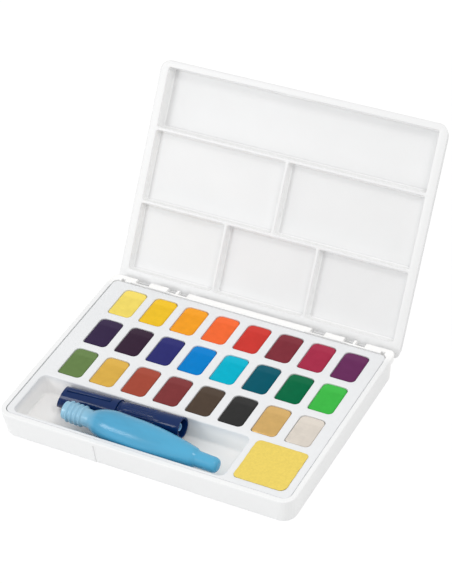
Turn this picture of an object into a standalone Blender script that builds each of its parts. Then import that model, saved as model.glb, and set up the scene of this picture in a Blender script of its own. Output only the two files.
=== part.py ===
"""Watercolour paint box with a hinged palette lid, in metres, +Z up.

The origin is at the middle of the box's underside. The lid stands open, as the box is used.
"""
import math

import bmesh
import bpy
from mathutils import Matrix, Vector

for old in list(bpy.data.objects):
    bpy.data.objects.remove(old)

# Gaps between pieces, and how far a cutter runs past the face that it cuts
CLEARANCE = 0.0003
OVERRUN = 0.002
EMBED = 0.0006

# Points nearer than this are one, and the angles at which an edge counts as a corner and as sharp
WELD = 0.00001
CORNER_ANGLE = math.radians(60)
SHARP_ANGLE = math.radians(35)

# Steps round a corner and round a turned piece
CORNER_STEPS = 6
SMALL_STEPS = 2
ROUND_STEPS = 24
PIN_STEPS = 12

# Lower case
BOX_HALF_WIDTH = 0.0828
BOX_FRONT = -0.0612
BOX_BACK = 0.0600
CASE_HEIGHT = 0.0149
CASE_DRAFT = 0.0015
CASE_INNER_DRAFT = 0.0006
CASE_RIM = 0.0026
RIM_EDGE = 0.0006
CASE_FLOOR = 0.0015
FRONT_CORNER = 0.0070
BACK_CORNER = 0.0030
FOOT_EDGE = 0.0009
BACK_WALL = 0.0540
BACK_WALL_THICKNESS = 0.0013
LEDGE_DEPTH = 0.0046
LEDGE_THICKNESS = 0.0015
LEDGE_WIDTH = 0.0044

# Finger recess in the front of the case and of the lid
RECESS_HALF_WIDTH = 0.0268
RECESS_DEPTH = 0.0007
RECESS_BAND = 0.0024

# Hinge
HINGE_INSET = 0.0010
HINGE_DROP = 0.0039
HINGE_OPENING = math.radians(124)
PIN_RADIUS = 0.0010
CLAW_WALL = 0.0009
CLAW_ARM_FRONT = 0.0004
CLAW_ARM_BACK = 0.0008
CLAW_MOUTH = (math.radians(200), math.radians(-70))
CLAW_STEPS = 6
NOTCH_WALL_GAP = 0.0003
HEEL_LENGTH = 0.0036
HEEL_THICKNESS = 0.0010
HINGE_LEFT_INSET = 0.0121
HINGE_RIGHT_INSET = 0.0500
WIDE_NOTCH_START = 0.0025
WIDE_NOTCH_WIDTH = 0.0082
NARROW_NOTCH_STARTS = (0.0214, 0.0282)
NARROW_NOTCH_WIDTH = 0.0055
CLAW_SIDE_GAP = 0.0005
CLAW_ROOT = 0.0024
LIFT_SLOT_WIDTH = 0.0244
LIFT_SLOT_DEPTH = 0.0004
CORNER_SLOT_LEFT_INSET = 0.0076
CORNER_SLOT_RIGHT_INSET = 0.0058
CORNER_SLOT_WIDTH = 0.0024
CORNER_SLOT_DEPTH = 0.0016
SLOT_FALL = 0.0026

# Lid, with distances along it measured from the hinge
LID_GAP = 0.0003
LID_DEPTH = 0.0087
LID_CORNER = 0.0056
LID_DRAFT = 0.0020
LID_OVERHANG = 0.0010
LID_EDGE = 0.0028
EDGE_STEPS = 4
LID_SIDE_BORDER = 0.0048
LID_FRONT_BORDER = 0.0036
LID_BACK_BORDER = 0.0080
RIB_WIDTH = 0.0018
FRONT_WELL_DEPTH = 0.0073
WELL_DEPTH = 0.0060
WELL_CORNER = 0.0012
WELL_DRAFT = 0.0004
FIRST_RIB = 0.0443
SECOND_RIB = 0.0843
MIDDLE_WELL_HALF_WIDTH = 0.0269
CATCH_START = -0.0140
CATCH_END = 0.0090
CATCH_HEIGHT = 0.0010
CATCH_REACH = 0.0005
CATCH_DROP = 0.0006

# Insert tray
TRAY_GAP = 0.0005
TRAY_DROP = 0.0002
TRAY_PLATE = 0.0013
TRAY_WALL = 0.0012

# Paint openings, pans and paints
COLUMNS = 8
ROWS = 3
PAINTS_LEFT_MARGIN = 0.00752
PAINTS_RIGHT_MARGIN = 0.00488
BACK_ROW_INSET = 0.0154
ROW_PITCH = 0.02579
COLUMN_BRIDGE = 0.0048
ROW_BRIDGE = 0.00429
OPENING_CORNER = 0.0026
PAN_SIDE_SPACE = 0.0023
PAN_END_SPACE = 0.00219
PAN_WALL = 0.0009
PAN_DRAFT = 0.0005
PAN_CORNER = 0.0030
PAINT_DROP = 0.0011
PAINT_SIDE_GAP = 0.00045
PAINT_EDGE = 0.0005
RIB_HEIGHT = 0.0020
RIB_SIDE_GAP = 0.0004

# Brush compartment and sponge pocket, with their distances from the case's rim and from the paints
BRUSH_LEFT_MARGIN = 0.0044
BRUSH_FRONT_MARGIN = 0.0024
BRUSH_BACK_MARGIN = 0.001875
BRUSH_TO_SPONGE = 0.0041
POCKET_CORNER = 0.0035
POCKET_FLOOR = 0.0012
REST_SHARE = 0.609
REST_THICKNESS = 0.0020
REST_BEYOND_BRUSH = 0.0015
SPONGE_RIGHT_MARGIN = 0.0047
SPONGE_FRONT_MARGIN = 0.0046
SPONGE_SIZE = 0.0276
SPONGE_RISE = 0.0002
SPONGE_CORNER = 0.0030
SPONGE_EDGE = 0.0008

# Water brush: cap, grip, inner tube and bristles
CAP_TIP_INSET = 0.0128
CAP_BACK_INSET = 0.0066
GRIP_BACK_INSET = 0.0063
CAP_LENGTH = 0.0360
GRIP_SHOW = 0.0360
CAP_RADIUS = 0.0062
CAP_TIP_RADIUS = 0.0058
CAP_WALL = 0.0010
CAP_END_WALL = 0.0016
CAP_TIP_CUT = 0.0045
CAP_BAR_START = 0.0060
CAP_BAR_LENGTH = 0.0260
CAP_BAR_WIDTH = 0.0022
CAP_BAR_HEIGHT = 0.0009
BRUSH_TILT = math.radians(3)
GRIP_RADIUS = 0.0055
GRIP_WALL = 0.0010
GRIP_MOUTH_DEPTH = 0.0100
GRIP_PLUG_LENGTH = 0.0090
GRIP_GROOVES = 4
GRIP_GROOVE_PITCH = 0.0016
GRIP_GROOVE_DEPTH = 0.0003
FEED_RADIUS = 0.0020
FEED_WALL = 0.0006
FEED_LENGTH = 0.0080
NOSE_LENGTH = 0.0070
NOSE_RADIUS = 0.0026
TUFT_RADIUS = 0.0019
TUFT_TIP_GAP = 0.0026
TUFT_SHOULDER_SHARE = 0.5

# Water tank, from the threaded neck to the tail: (x, y, z) distances of its two ends from the compartment's
# left and right ends, front side and floor, then radii, and places as shares of its length
TANK_NECK_INSET = (0.0249, 0.0106, 0.0120)
TANK_TAIL_INSET = (0.0066, 0.0076, 0.0090)
TANK_COLLAR_RADIUS = 0.0047
TANK_THREAD_RADIUS = 0.0056
TANK_THREADS = 4
TANK_THREAD_PITCH = 0.0026
TANK_THREAD_START = 0.0030
TANK_NECK_SHARE = 0.187
TANK_NECK_RADIUS = 0.0046
TANK_BELLY_START_SHARE = 0.352
TANK_BELLY_END_SHARE = 0.465
TANK_BELLY_RADIUS = 0.0085
TANK_CONE_SHARE = 0.830
TANK_CONE_RADIUS = 0.0053
TANK_TAIL_SHARE = 0.865
TANK_TAIL_RADIUS = 0.0040
TANK_BORE_RADIUS = 0.0037
TANK_WALL = 0.0009
TANK_END_ROUND = 0.0016
TANK_CURVE_STEPS = 6

PLASTIC_WHITE = (0.80, 0.82, 0.84)
TRAY_WHITE = (0.78, 0.80, 0.83)
PAN_WHITE = (0.74, 0.76, 0.78)
SPONGE_YELLOW = (0.88, 0.66, 0.15)
BRUSH_NAVY = (0.010, 0.026, 0.110)
FEED_GREY = (0.55, 0.62, 0.70)
TUFT_WHITE = (0.85, 0.82, 0.74)
TANK_BLUE = (0.10, 0.36, 0.58)
GLOSS = 0.30
SATIN = 0.45
MATT = 0.80

# Back row first, each row from the left
PAINTS = (
    ("lemon", (0.83, 0.67, 0.14)),
    ("yellow", (0.85, 0.55, 0.03)),
    ("orange", (0.89, 0.35, 0.03)),
    ("vermilion", (0.89, 0.15, 0.05)),
    ("red", (0.60, 0.05, 0.045)),
    ("crimson", (0.22, 0.04, 0.052)),
    ("magenta", (0.38, 0.038, 0.078)),
    ("purple", (0.14, 0.035, 0.112)),
    ("violet", (0.047, 0.030, 0.074)),
    ("plum", (0.047, 0.027, 0.048)),
    ("ultramarine", (0.036, 0.037, 0.168)),
    ("azure", (0.003, 0.216, 0.597)),
    ("turquoise", (0.002, 0.439, 0.597)),
    ("teal", (0.003, 0.102, 0.144)),
    ("viridian", (0.001, 0.147, 0.063)),
    ("green", (0.058, 0.474, 0.074)),
    ("olive", (0.141, 0.223, 0.080)),
    ("ochre", (0.680, 0.418, 0.080)),
    ("sienna", (0.366, 0.076, 0.050)),
    ("burnt_sienna", (0.216, 0.048, 0.050)),
    ("umber", (0.087, 0.063, 0.048)),
    ("black", (0.041, 0.041, 0.041)),
    ("gold", (0.637, 0.413, 0.156)),
    ("pearl", (0.730, 0.672, 0.604)),
)

# Places that follow from the sizes above
RIM_INSIDE = BOX_HALF_WIDTH - CASE_RIM
RIM_INSIDE_FRONT = BOX_FRONT + CASE_RIM
LEDGE_BACK = BOX_BACK - LEDGE_WIDTH
LEDGE_UNDERSIDE = CASE_HEIGHT - LEDGE_DEPTH
HINGE_Y = BOX_BACK - HINGE_INSET
HINGE_Z = CASE_HEIGHT - HINGE_DROP
HINGE_UNIT_STARTS = (-BOX_HALF_WIDTH + HINGE_LEFT_INSET, BOX_HALF_WIDTH - HINGE_RIGHT_INSET)
CORNER_SLOT_PLACES = (-BOX_HALF_WIDTH + CORNER_SLOT_LEFT_INSET, BOX_HALF_WIDTH - CORNER_SLOT_RIGHT_INSET)
COLUMN_PITCH = (2 * RIM_INSIDE - PAINTS_LEFT_MARGIN - PAINTS_RIGHT_MARGIN) / COLUMNS
FIRST_COLUMN = -RIM_INSIDE + PAINTS_LEFT_MARGIN + COLUMN_PITCH / 2
BACK_ROW = LEDGE_BACK - BACK_ROW_INSET
OPENING_WIDTH = COLUMN_PITCH - COLUMN_BRIDGE
OPENING_DEPTH = ROW_PITCH - ROW_BRIDGE
PAN_WIDTH = COLUMN_PITCH - PAN_SIDE_SPACE
PAN_DEPTH = ROW_PITCH - PAN_END_SPACE
SPONGE_LEFT = RIM_INSIDE - SPONGE_RIGHT_MARGIN - SPONGE_SIZE
SPONGE_FRONT = RIM_INSIDE_FRONT + SPONGE_FRONT_MARGIN
BRUSH_LEFT = -RIM_INSIDE + BRUSH_LEFT_MARGIN
BRUSH_RIGHT = SPONGE_LEFT - BRUSH_TO_SPONGE
BRUSH_FRONT = RIM_INSIDE_FRONT + BRUSH_FRONT_MARGIN
BRUSH_BACK = BACK_ROW - (ROWS - 1 / 2) * ROW_PITCH - BRUSH_BACK_MARGIN
REST_PLACE = BRUSH_LEFT + (BRUSH_RIGHT - BRUSH_LEFT) * REST_SHARE
BRUSH_START = BRUSH_LEFT + CAP_TIP_INSET
BRUSH_Y = BRUSH_BACK - CAP_BACK_INSET
GRIP_END_Y = BRUSH_BACK - GRIP_BACK_INSET
TRAY_TOP = CASE_HEIGHT - TRAY_DROP
TRAY_UNDERSIDE = TRAY_TOP - TRAY_PLATE
TRAY_FLOOR_UNDERSIDE = CASE_FLOOR + CLEARANCE
TRAY_FLOOR = TRAY_FLOOR_UNDERSIDE + POCKET_FLOOR
PAN_BOTTOM = CASE_FLOOR + CLEARANCE
PAN_TOP = TRAY_UNDERSIDE - CLEARANCE
LID_RIM = CASE_HEIGHT + LID_GAP
LID_TOP = LID_RIM + LID_DEPTH
CLAW_BORE = PIN_RADIUS + CLEARANCE
CLAW_RADIUS = CLAW_BORE + CLAW_WALL
NOTCH_WALL = HINGE_Y - CLAW_RADIUS - NOTCH_WALL_GAP
LID_FRONT = BOX_FRONT - LID_OVERHANG
LID_WELLS_FRONT = LID_FRONT + LID_FRONT_BORDER
HINGE_POINT = Vector((0, HINGE_Y, HINGE_Z))
BRUSH_CORNER = Vector((BRUSH_LEFT, BRUSH_FRONT, TRAY_FLOOR))
TANK_START = BRUSH_CORNER + Vector(TANK_NECK_INSET)
TANK_END = Vector((BRUSH_RIGHT - TANK_TAIL_INSET[0], *(BRUSH_CORNER + Vector(TANK_TAIL_INSET)).yz))
TANK_LENGTH = (TANK_END - TANK_START).length


def collection(name):
    made = bpy.data.collections.new(name)
    bpy.context.scene.collection.children.link(made)
    return made


PARTS = collection("watercolour_paint_box")
CUTTERS = collection("cutters")
CUTTERS.hide_render = True


def material(name, colour, roughness):
    made = bpy.data.materials.new(name)
    made.use_nodes = True
    shader = made.node_tree.nodes["Principled BSDF"]
    shader.inputs["Base Color"].default_value = (*colour, 1)
    shader.inputs["Roughness"].default_value = roughness
    shader.inputs["Metallic"].default_value = 0
    return made


def add_object(name, mesh, finish=None, parent=None):
    """A part where a material is given, otherwise a cutter. The lid's pieces hang on the hinge's empty."""
    made = bpy.data.objects.new(name, mesh)
    if parent:
        mesh.transform(Matrix.Translation(-HINGE_POINT))
    (PARTS if finish else CUTTERS).objects.link(made)
    if finish:
        mesh.materials.append(finish)
    else:
        made.hide_render = True
        made.display_type = "WIRE"
    made.parent = parent
    return made


def block(
    name,
    x,
    y,
    z,
    corner=0,
    back_corner=None,
    inset=0,
    low_edge=0,
    high_edge=0,
    steps=CORNER_STEPS,
    edge_steps=SMALL_STEPS,
):
    """A box mesh between two values on each axis, with rounded upright corners and rounded rims.

    inset moves the low face's four sides inward: one number, or (left, right, front, back).
    """
    left, right, front, back = (inset,) * 4 if isinstance(inset, (int, float)) else inset
    shape = bmesh.new()
    bmesh.ops.create_cube(shape, size=1)
    for vertex in shape.verts:
        at_low = vertex.co.z < 0
        vertex.co.x = (x[0] + at_low * left) if vertex.co.x < 0 else (x[1] - at_low * right)
        vertex.co.y = (y[0] + at_low * front) if vertex.co.y < 0 else (y[1] - at_low * back)
        vertex.co.z = z[0] if at_low else z[1]
    middle_y = sum(y) / 2
    for side, radius in ((-1, corner), (1, corner if back_corner is None else back_corner)):
        if not radius:
            continue
        edges = [
            edge
            for edge in shape.edges
            if (edge.verts[0].co.y - middle_y) * side > 0
            and abs(edge.verts[0].co.z - edge.verts[1].co.z) > WELD
            and edge.calc_face_angle() > CORNER_ANGLE
        ]
        bmesh.ops.bevel(shape, geom=edges, offset=radius, segments=steps, profile=0.5, affect="EDGES")
    for level, radius in ((z[0], low_edge), (z[1], high_edge)):
        if not radius:
            continue
        edges = [edge for edge in shape.edges if all(abs(end.co.z - level) < WELD for end in edge.verts)]
        bmesh.ops.bevel(shape, geom=edges, offset=radius, segments=edge_steps, profile=0.5, affect="EDGES")
    mesh = bpy.data.meshes.new(name)
    shape.to_mesh(mesh)
    shape.free()
    return mesh


def joined_mesh(name, meshes):
    """One mesh that holds several separate bodies."""
    shape = bmesh.new()
    for mesh in meshes:
        shape.from_mesh(mesh)
    whole = bpy.data.meshes.new(name)
    shape.to_mesh(whole)
    shape.free()
    return whole


def boolean(target, tool, operation):
    modifier = target.modifiers.new(tool.name, "BOOLEAN")
    modifier.operation = operation
    modifier.solver = "EXACT"
    modifier.object = tool


def cut(target, name, *meshes):
    boolean(target, add_object(name, joined_mesh(name, meshes), parent=target.parent), "DIFFERENCE")


def join(target, name, *meshes):
    boolean(target, add_object(name, joined_mesh(name, meshes), parent=target.parent), "UNION")


def prism(name, outline, x):
    """A closed outline of (y, z) points carried along X from x[0] to x[1]."""
    curve = bpy.data.curves.new(name, "CURVE")
    curve.dimensions = "2D"
    curve.fill_mode = "BOTH"
    curve.extrude = (x[1] - x[0]) / 2
    spline = curve.splines.new("POLY")
    spline.points.add(len(outline) - 1)
    for point, (y, z) in zip(spline.points, outline):
        point.co = (y, z, 0, 1)
    spline.use_cyclic_u = True
    drawn = bpy.data.objects.new(name, curve)
    bpy.context.scene.collection.objects.link(drawn)
    bpy.context.view_layer.update()
    mesh = bpy.data.meshes.new_from_object(drawn.evaluated_get(bpy.context.evaluated_depsgraph_get()))
    bpy.data.objects.remove(drawn)
    upright = Matrix(((0, 0, 1, sum(x) / 2), (1, 0, 0, 0), (0, 1, 0, 0), (0, 0, 0, 1)))
    mesh.transform(upright)
    shape = bmesh.new()
    shape.from_mesh(mesh)
    bmesh.ops.remove_doubles(shape, verts=shape.verts, dist=WELD)
    bmesh.ops.recalc_face_normals(shape, faces=shape.faces)
    shape.to_mesh(mesh)
    shape.free()
    return mesh


def turned(name, profile, steps=ROUND_STEPS):
    """A closed body turned about Z from (radius, height) points, listed from the top down."""
    mesh = bpy.data.meshes.new(name)
    points = [(radius, 0, height) for radius, height in profile]
    mesh.from_pydata(points, [(n, n + 1) for n in range(len(points) - 1)], [])
    made = bpy.data.objects.new(name, mesh)
    bpy.context.scene.collection.objects.link(made)
    screw = made.modifiers.new("turn", "SCREW")
    screw.axis = "Z"
    screw.steps = steps
    screw.render_steps = steps
    screw.use_merge_vertices = True
    screw.merge_threshold = WELD
    bpy.context.view_layer.update()
    whole = bpy.data.meshes.new_from_object(made.evaluated_get(bpy.context.evaluated_depsgraph_get()))
    whole.name = name
    bpy.data.objects.remove(made)
    whole.shade_smooth()
    whole.set_sharp_from_angle(angle=SHARP_ANGLE)
    return whole


def rod(name, x, radius, steps=PIN_STEPS):
    """A round bar along X through the hinge point."""
    shape = bmesh.new()
    middle = Vector((sum(x) / 2, HINGE_Y, HINGE_Z))
    lie_down = Matrix.Translation(middle) @ Matrix.Rotation(math.pi / 2, 4, "Y")
    bmesh.ops.create_cone(
        shape,
        cap_ends=True,
        segments=steps,
        radius1=radius,
        radius2=radius,
        depth=x[1] - x[0],
        matrix=lie_down,
    )
    mesh = bpy.data.meshes.new(name)
    shape.to_mesh(mesh)
    shape.free()
    return mesh


def notch_spans():
    """The span along X of each notch in the hinge ledge."""
    spans = []
    for unit in HINGE_UNIT_STARTS:
        spans.append((unit + WIDE_NOTCH_START, unit + WIDE_NOTCH_START + WIDE_NOTCH_WIDTH))
        for start in NARROW_NOTCH_STARTS:
            spans.append((unit + start, unit + start + NARROW_NOTCH_WIDTH))
    return spans


def draft_at(height):
    """How far the case's inner sides have come in at a height above the underside."""
    return CASE_INNER_DRAFT * (CASE_HEIGHT - height) / CASE_HEIGHT


def pan_centre(row, column):
    return FIRST_COLUMN + column * COLUMN_PITCH, BACK_ROW - row * ROW_PITCH


def around(middle, size):
    return middle - size / 2, middle + size / 2


def mixed(first, last, share):
    return first + (last - first) * share


def make_base_shell():
    """The lower case: a drafted tray with a ledge at the back that carries the hinge bars."""
    shell = add_object(
        "base_shell",
        block(
            "base_shell",
            (-BOX_HALF_WIDTH, BOX_HALF_WIDTH),
            (BOX_FRONT, BOX_BACK),
            (0, CASE_HEIGHT),
            corner=FRONT_CORNER,
            back_corner=BACK_CORNER,
            inset=(CASE_DRAFT, CASE_DRAFT, CASE_DRAFT, 0),
            low_edge=FOOT_EDGE,
            high_edge=RIM_EDGE,
        ),
        material("white_case_plastic", PLASTIC_WHITE, SATIN),
    )
    beyond = BOX_HALF_WIDTH + OVERRUN
    cut(
        shell,
        "under_the_ledge",
        block(
            "under_the_ledge",
            (-beyond, beyond),
            (BACK_WALL, BOX_BACK + OVERRUN),
            (-OVERRUN, LEDGE_UNDERSIDE),
        ),
    )
    draft = draft_at(CASE_FLOOR)
    cut(
        shell,
        "case_hollow",
        block(
            "case_hollow",
            (-RIM_INSIDE, RIM_INSIDE),
            (RIM_INSIDE_FRONT, BACK_WALL - BACK_WALL_THICKNESS),
            (CASE_FLOOR, CASE_HEIGHT + OVERRUN),
            corner=FRONT_CORNER - CASE_RIM,
            back_corner=BACK_CORNER,
            inset=(draft, draft, draft, 0),
        ),
    )
    cut(
        shell,
        "ledge_hollow",
        block(
            "ledge_hollow",
            (-RIM_INSIDE + CASE_INNER_DRAFT / 2, RIM_INSIDE - CASE_INNER_DRAFT / 2),
            (0, LEDGE_BACK),
            (LEDGE_UNDERSIDE + LEDGE_THICKNESS, CASE_HEIGHT + OVERRUN),
            back_corner=BACK_CORNER,
        ),
    )
    cut(
        shell,
        "finger_recess",
        block(
            "finger_recess",
            (-RECESS_HALF_WIDTH, RECESS_HALF_WIDTH),
            (BOX_FRONT - OVERRUN, BOX_FRONT + RECESS_DEPTH),
            (-OVERRUN, CASE_HEIGHT - RECESS_BAND),
            inset=(0, 0, 0, -CASE_DRAFT),
        ),
    )
    cut(
        shell,
        "hinge_notches",
        *(
            block(
                "hinge_notch",
                span,
                (NOTCH_WALL, BOX_BACK + OVERRUN),
                (LEDGE_UNDERSIDE - OVERRUN, CASE_HEIGHT + OVERRUN),
            )
            for span in notch_spans()
        ),
    )
    slots = [((unit, unit + LIFT_SLOT_WIDTH), LIFT_SLOT_DEPTH) for unit in HINGE_UNIT_STARTS]
    slots += [(around(place, CORNER_SLOT_WIDTH), CORNER_SLOT_DEPTH) for place in CORNER_SLOT_PLACES]
    cut(
        shell,
        "lift_slots",
        *(
            block(
                "lift_slot",
                span,
                (LEDGE_BACK - EMBED, LEDGE_BACK + depth),
                (CASE_HEIGHT - SLOT_FALL, CASE_HEIGHT + OVERRUN),
            )
            for span, depth in slots
        ),
    )
    join(
        shell,
        "hinge_bars",
        *(rod("hinge_bar", (start - EMBED, end + EMBED), PIN_RADIUS) for start, end in notch_spans()),
    )
    add_pan_ribs(shell)
    return shell


def add_pan_ribs(shell):
    """Low ribs on the case floor that keep the pans in their rows and columns."""
    across = COLUMN_PITCH - PAN_WIDTH + 2 * PAN_DRAFT - 2 * RIB_SIDE_GAP
    along = ROW_PITCH - PAN_DEPTH + 2 * PAN_DRAFT - 2 * RIB_SIDE_GAP
    left = pan_centre(0, 0)[0] - COLUMN_PITCH / 2
    right = pan_centre(0, COLUMNS - 1)[0] + COLUMN_PITCH / 2
    front = pan_centre(ROWS - 1, 0)[1] - ROW_PITCH / 2
    back = pan_centre(0, 0)[1] + PAN_DEPTH / 2 - PAN_CORNER
    level = (CASE_FLOOR - EMBED, CASE_FLOOR + RIB_HEIGHT)
    join(
        shell,
        "column_ribs",
        *(
            block("column_rib", around(left + n * COLUMN_PITCH, across), (front + PAN_CORNER, back), level)
            for n in range(1, COLUMNS)
        ),
    )
    row_x = (left + PAN_CORNER, right - PAN_CORNER)
    row_ribs = [block("row_rib", row_x, around(front + n * ROW_PITCH, along), level) for n in range(1, ROWS)]
    join(shell, "row_ribs", *row_ribs)


def make_insert_tray():
    """The tray that frames the paints and holds the brush, its tank and the sponge."""
    half = RIM_INSIDE - TRAY_GAP
    front = RIM_INSIDE_FRONT + TRAY_GAP
    back = LEDGE_BACK - TRAY_GAP
    corner = FRONT_CORNER - CASE_RIM - TRAY_GAP
    skirt_low = LEDGE_UNDERSIDE + LEDGE_THICKNESS + CLEARANCE
    tray = add_object(
        "insert_tray",
        block(
            "insert_tray",
            (-half, half),
            (front, back),
            (skirt_low, TRAY_TOP),
            corner=corner,
            back_corner=BACK_CORNER,
            inset=draft_at(skirt_low),
        ),
        material("white_tray_plastic", TRAY_WHITE, SATIN),
    )
    inner = TRAY_WALL + CASE_INNER_DRAFT
    cut(
        tray,
        "tray_underside",
        block(
            "tray_underside",
            (-half + inner, half - inner),
            (front + inner, back - inner),
            (skirt_low - OVERRUN, TRAY_UNDERSIDE),
            corner=corner,
            back_corner=BACK_CORNER,
        ),
    )
    brush_x = (BRUSH_LEFT, BRUSH_RIGHT)
    brush_y = (BRUSH_FRONT, BRUSH_BACK)
    sponge_x, sponge_y = sponge_pocket()
    join(
        tray,
        "pocket_walls",
        *(
            block(
                "pocket_wall",
                (x[0] - TRAY_WALL, x[1] + TRAY_WALL),
                (y[0] - TRAY_WALL, y[1] + TRAY_WALL),
                (TRAY_FLOOR_UNDERSIDE, TRAY_TOP - TRAY_PLATE / 2),
                corner=POCKET_CORNER + TRAY_WALL,
            )
            for x, y in ((brush_x, brush_y), (sponge_x, sponge_y))
        ),
    )
    cut(
        tray,
        "pockets",
        *(
            block("pocket", x, y, (TRAY_FLOOR, TRAY_TOP + OVERRUN), corner=POCKET_CORNER)
            for x, y in ((brush_x, brush_y), (sponge_x, sponge_y))
        ),
    )
    openings = []
    for row in range(ROWS):
        for column in range(COLUMNS):
            x, y = pan_centre(row, column)
            openings.append(
                block(
                    "opening",
                    around(x, OPENING_WIDTH),
                    around(y, OPENING_DEPTH),
                    (TRAY_UNDERSIDE - OVERRUN, TRAY_TOP + OVERRUN),
                    corner=OPENING_CORNER,
                    steps=SMALL_STEPS + 1,
                )
            )
    cut(tray, "openings", *openings)
    rest_x = around(REST_PLACE, REST_THICKNESS)
    middle_y = BRUSH_Y - GRIP_RADIUS
    under_brush = brush_point(rest_x[0]).z - GRIP_RADIUS - CLEARANCE
    under_tank = tank_point(rest_x[1]).z - TANK_BELLY_RADIUS - CLEARANCE
    for name, y, level in (
        ("brush_rest", (middle_y, BRUSH_Y + REST_BEYOND_BRUSH), under_brush),
        ("tank_rest", (BRUSH_FRONT - EMBED, middle_y + EMBED), under_tank),
    ):
        join(tray, name, block(name, rest_x, y, (TRAY_FLOOR - EMBED, level)))
    return tray


def sponge_pocket():
    x = (SPONGE_LEFT - CLEARANCE, SPONGE_LEFT + SPONGE_SIZE + CLEARANCE)
    y = (SPONGE_FRONT - CLEARANCE, SPONGE_FRONT + SPONGE_SIZE + CLEARANCE)
    return x, y


def make_pans_and_paints():
    """White pans under the tray, each filled with a cast cake of paint."""
    white = material("white_pan_plastic", PAN_WHITE, SATIN)
    width = PAN_WIDTH - 2 * PAN_WALL
    depth = PAN_DEPTH - 2 * PAN_WALL
    floor = PAN_BOTTOM + PAN_WALL
    paint_x = around(0, width - 2 * PAINT_SIDE_GAP)
    paint_y = around(0, depth - 2 * PAINT_SIDE_GAP)
    inner_corner = PAN_CORNER - PAN_WALL
    pan_mesh = block(
        "pan",
        around(0, PAN_WIDTH),
        around(0, PAN_DEPTH),
        (PAN_BOTTOM, PAN_TOP),
        corner=PAN_CORNER,
        inset=PAN_DRAFT,
        steps=SMALL_STEPS,
    )
    hollow = block(
        "pan_hollow",
        around(0, width),
        around(0, depth),
        (floor, PAN_TOP),
        corner=inner_corner,
        inset=PAN_DRAFT,
        steps=SMALL_STEPS,
    )
    pan_mesh = opened_pan(pan_mesh, hollow)
    pan_mesh.materials.append(white)
    paint_mesh = block(
        "paint",
        paint_x,
        paint_y,
        (floor + CLEARANCE, TRAY_TOP - PAINT_DROP),
        corner=inner_corner,
        inset=PAN_DRAFT,
        high_edge=PAINT_EDGE,
        steps=SMALL_STEPS,
    )
    paint_mesh.materials.append(white)
    for number, (name, colour) in enumerate(PAINTS):
        x, y = pan_centre(*divmod(number, COLUMNS))
        pan = bpy.data.objects.new("pan_" + name, pan_mesh)
        paint = bpy.data.objects.new("paint_" + name, paint_mesh)
        for piece in (pan, paint):
            piece.location = (x, y, 0)
            PARTS.objects.link(piece)
        paint.material_slots[0].link = "OBJECT"
        paint.material_slots[0].material = material("paint_" + name, colour, MATT)


def opened_pan(outer, inner):
    """The pan's outer block with its hollow taken out, as one mesh that all the pans share."""
    body = add_object("pan_body", outer)
    tool = add_object("pan_space", inner)
    for vertex in inner.vertices:
        if vertex.co.z > PAN_TOP - CLEARANCE:
            vertex.co.z += OVERRUN
    boolean(body, tool, "DIFFERENCE")
    bpy.context.view_layer.update()
    whole = bpy.data.meshes.new_from_object(body.evaluated_get(bpy.context.evaluated_depsgraph_get()))
    whole.name = "pan"
    whole.materials.clear()
    bpy.data.objects.remove(body)
    bpy.data.objects.remove(tool)
    return whole


def make_sponge():
    """A square sponge that fills its pocket."""
    top = TRAY_TOP + SPONGE_RISE
    add_object(
        "sponge",
        block(
            "sponge",
            (SPONGE_LEFT, SPONGE_LEFT + SPONGE_SIZE),
            (SPONGE_FRONT, SPONGE_FRONT + SPONGE_SIZE),
            (TRAY_FLOOR + CLEARANCE, top),
            corner=SPONGE_CORNER,
            high_edge=SPONGE_EDGE,
        ),
        material("yellow_sponge", SPONGE_YELLOW, MATT),
    )


def brush_point(x):
    """The point on the brush's axis at a given x."""
    share = (x - BRUSH_START) / (CAP_LENGTH + GRIP_SHOW)
    low = TRAY_FLOOR + CLEARANCE + CAP_RADIUS / math.cos(BRUSH_TILT)
    rise = (x - BRUSH_START) * math.tan(BRUSH_TILT)
    return Vector((x, mixed(BRUSH_Y, GRIP_END_Y, share), low + rise))


def tank_point(x):
    """The point on the tank's axis at a given x."""
    return TANK_START.lerp(TANK_END, (x - TANK_START.x) / (TANK_END.x - TANK_START.x))


def place_along(piece, start, end):
    """Lays a body that was turned about Z with its foot at start, pointing to end."""
    piece.rotation_mode = "QUATERNION"
    piece.rotation_quaternion = (end - start).to_track_quat("Z", "Y")
    piece.location = start


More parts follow.
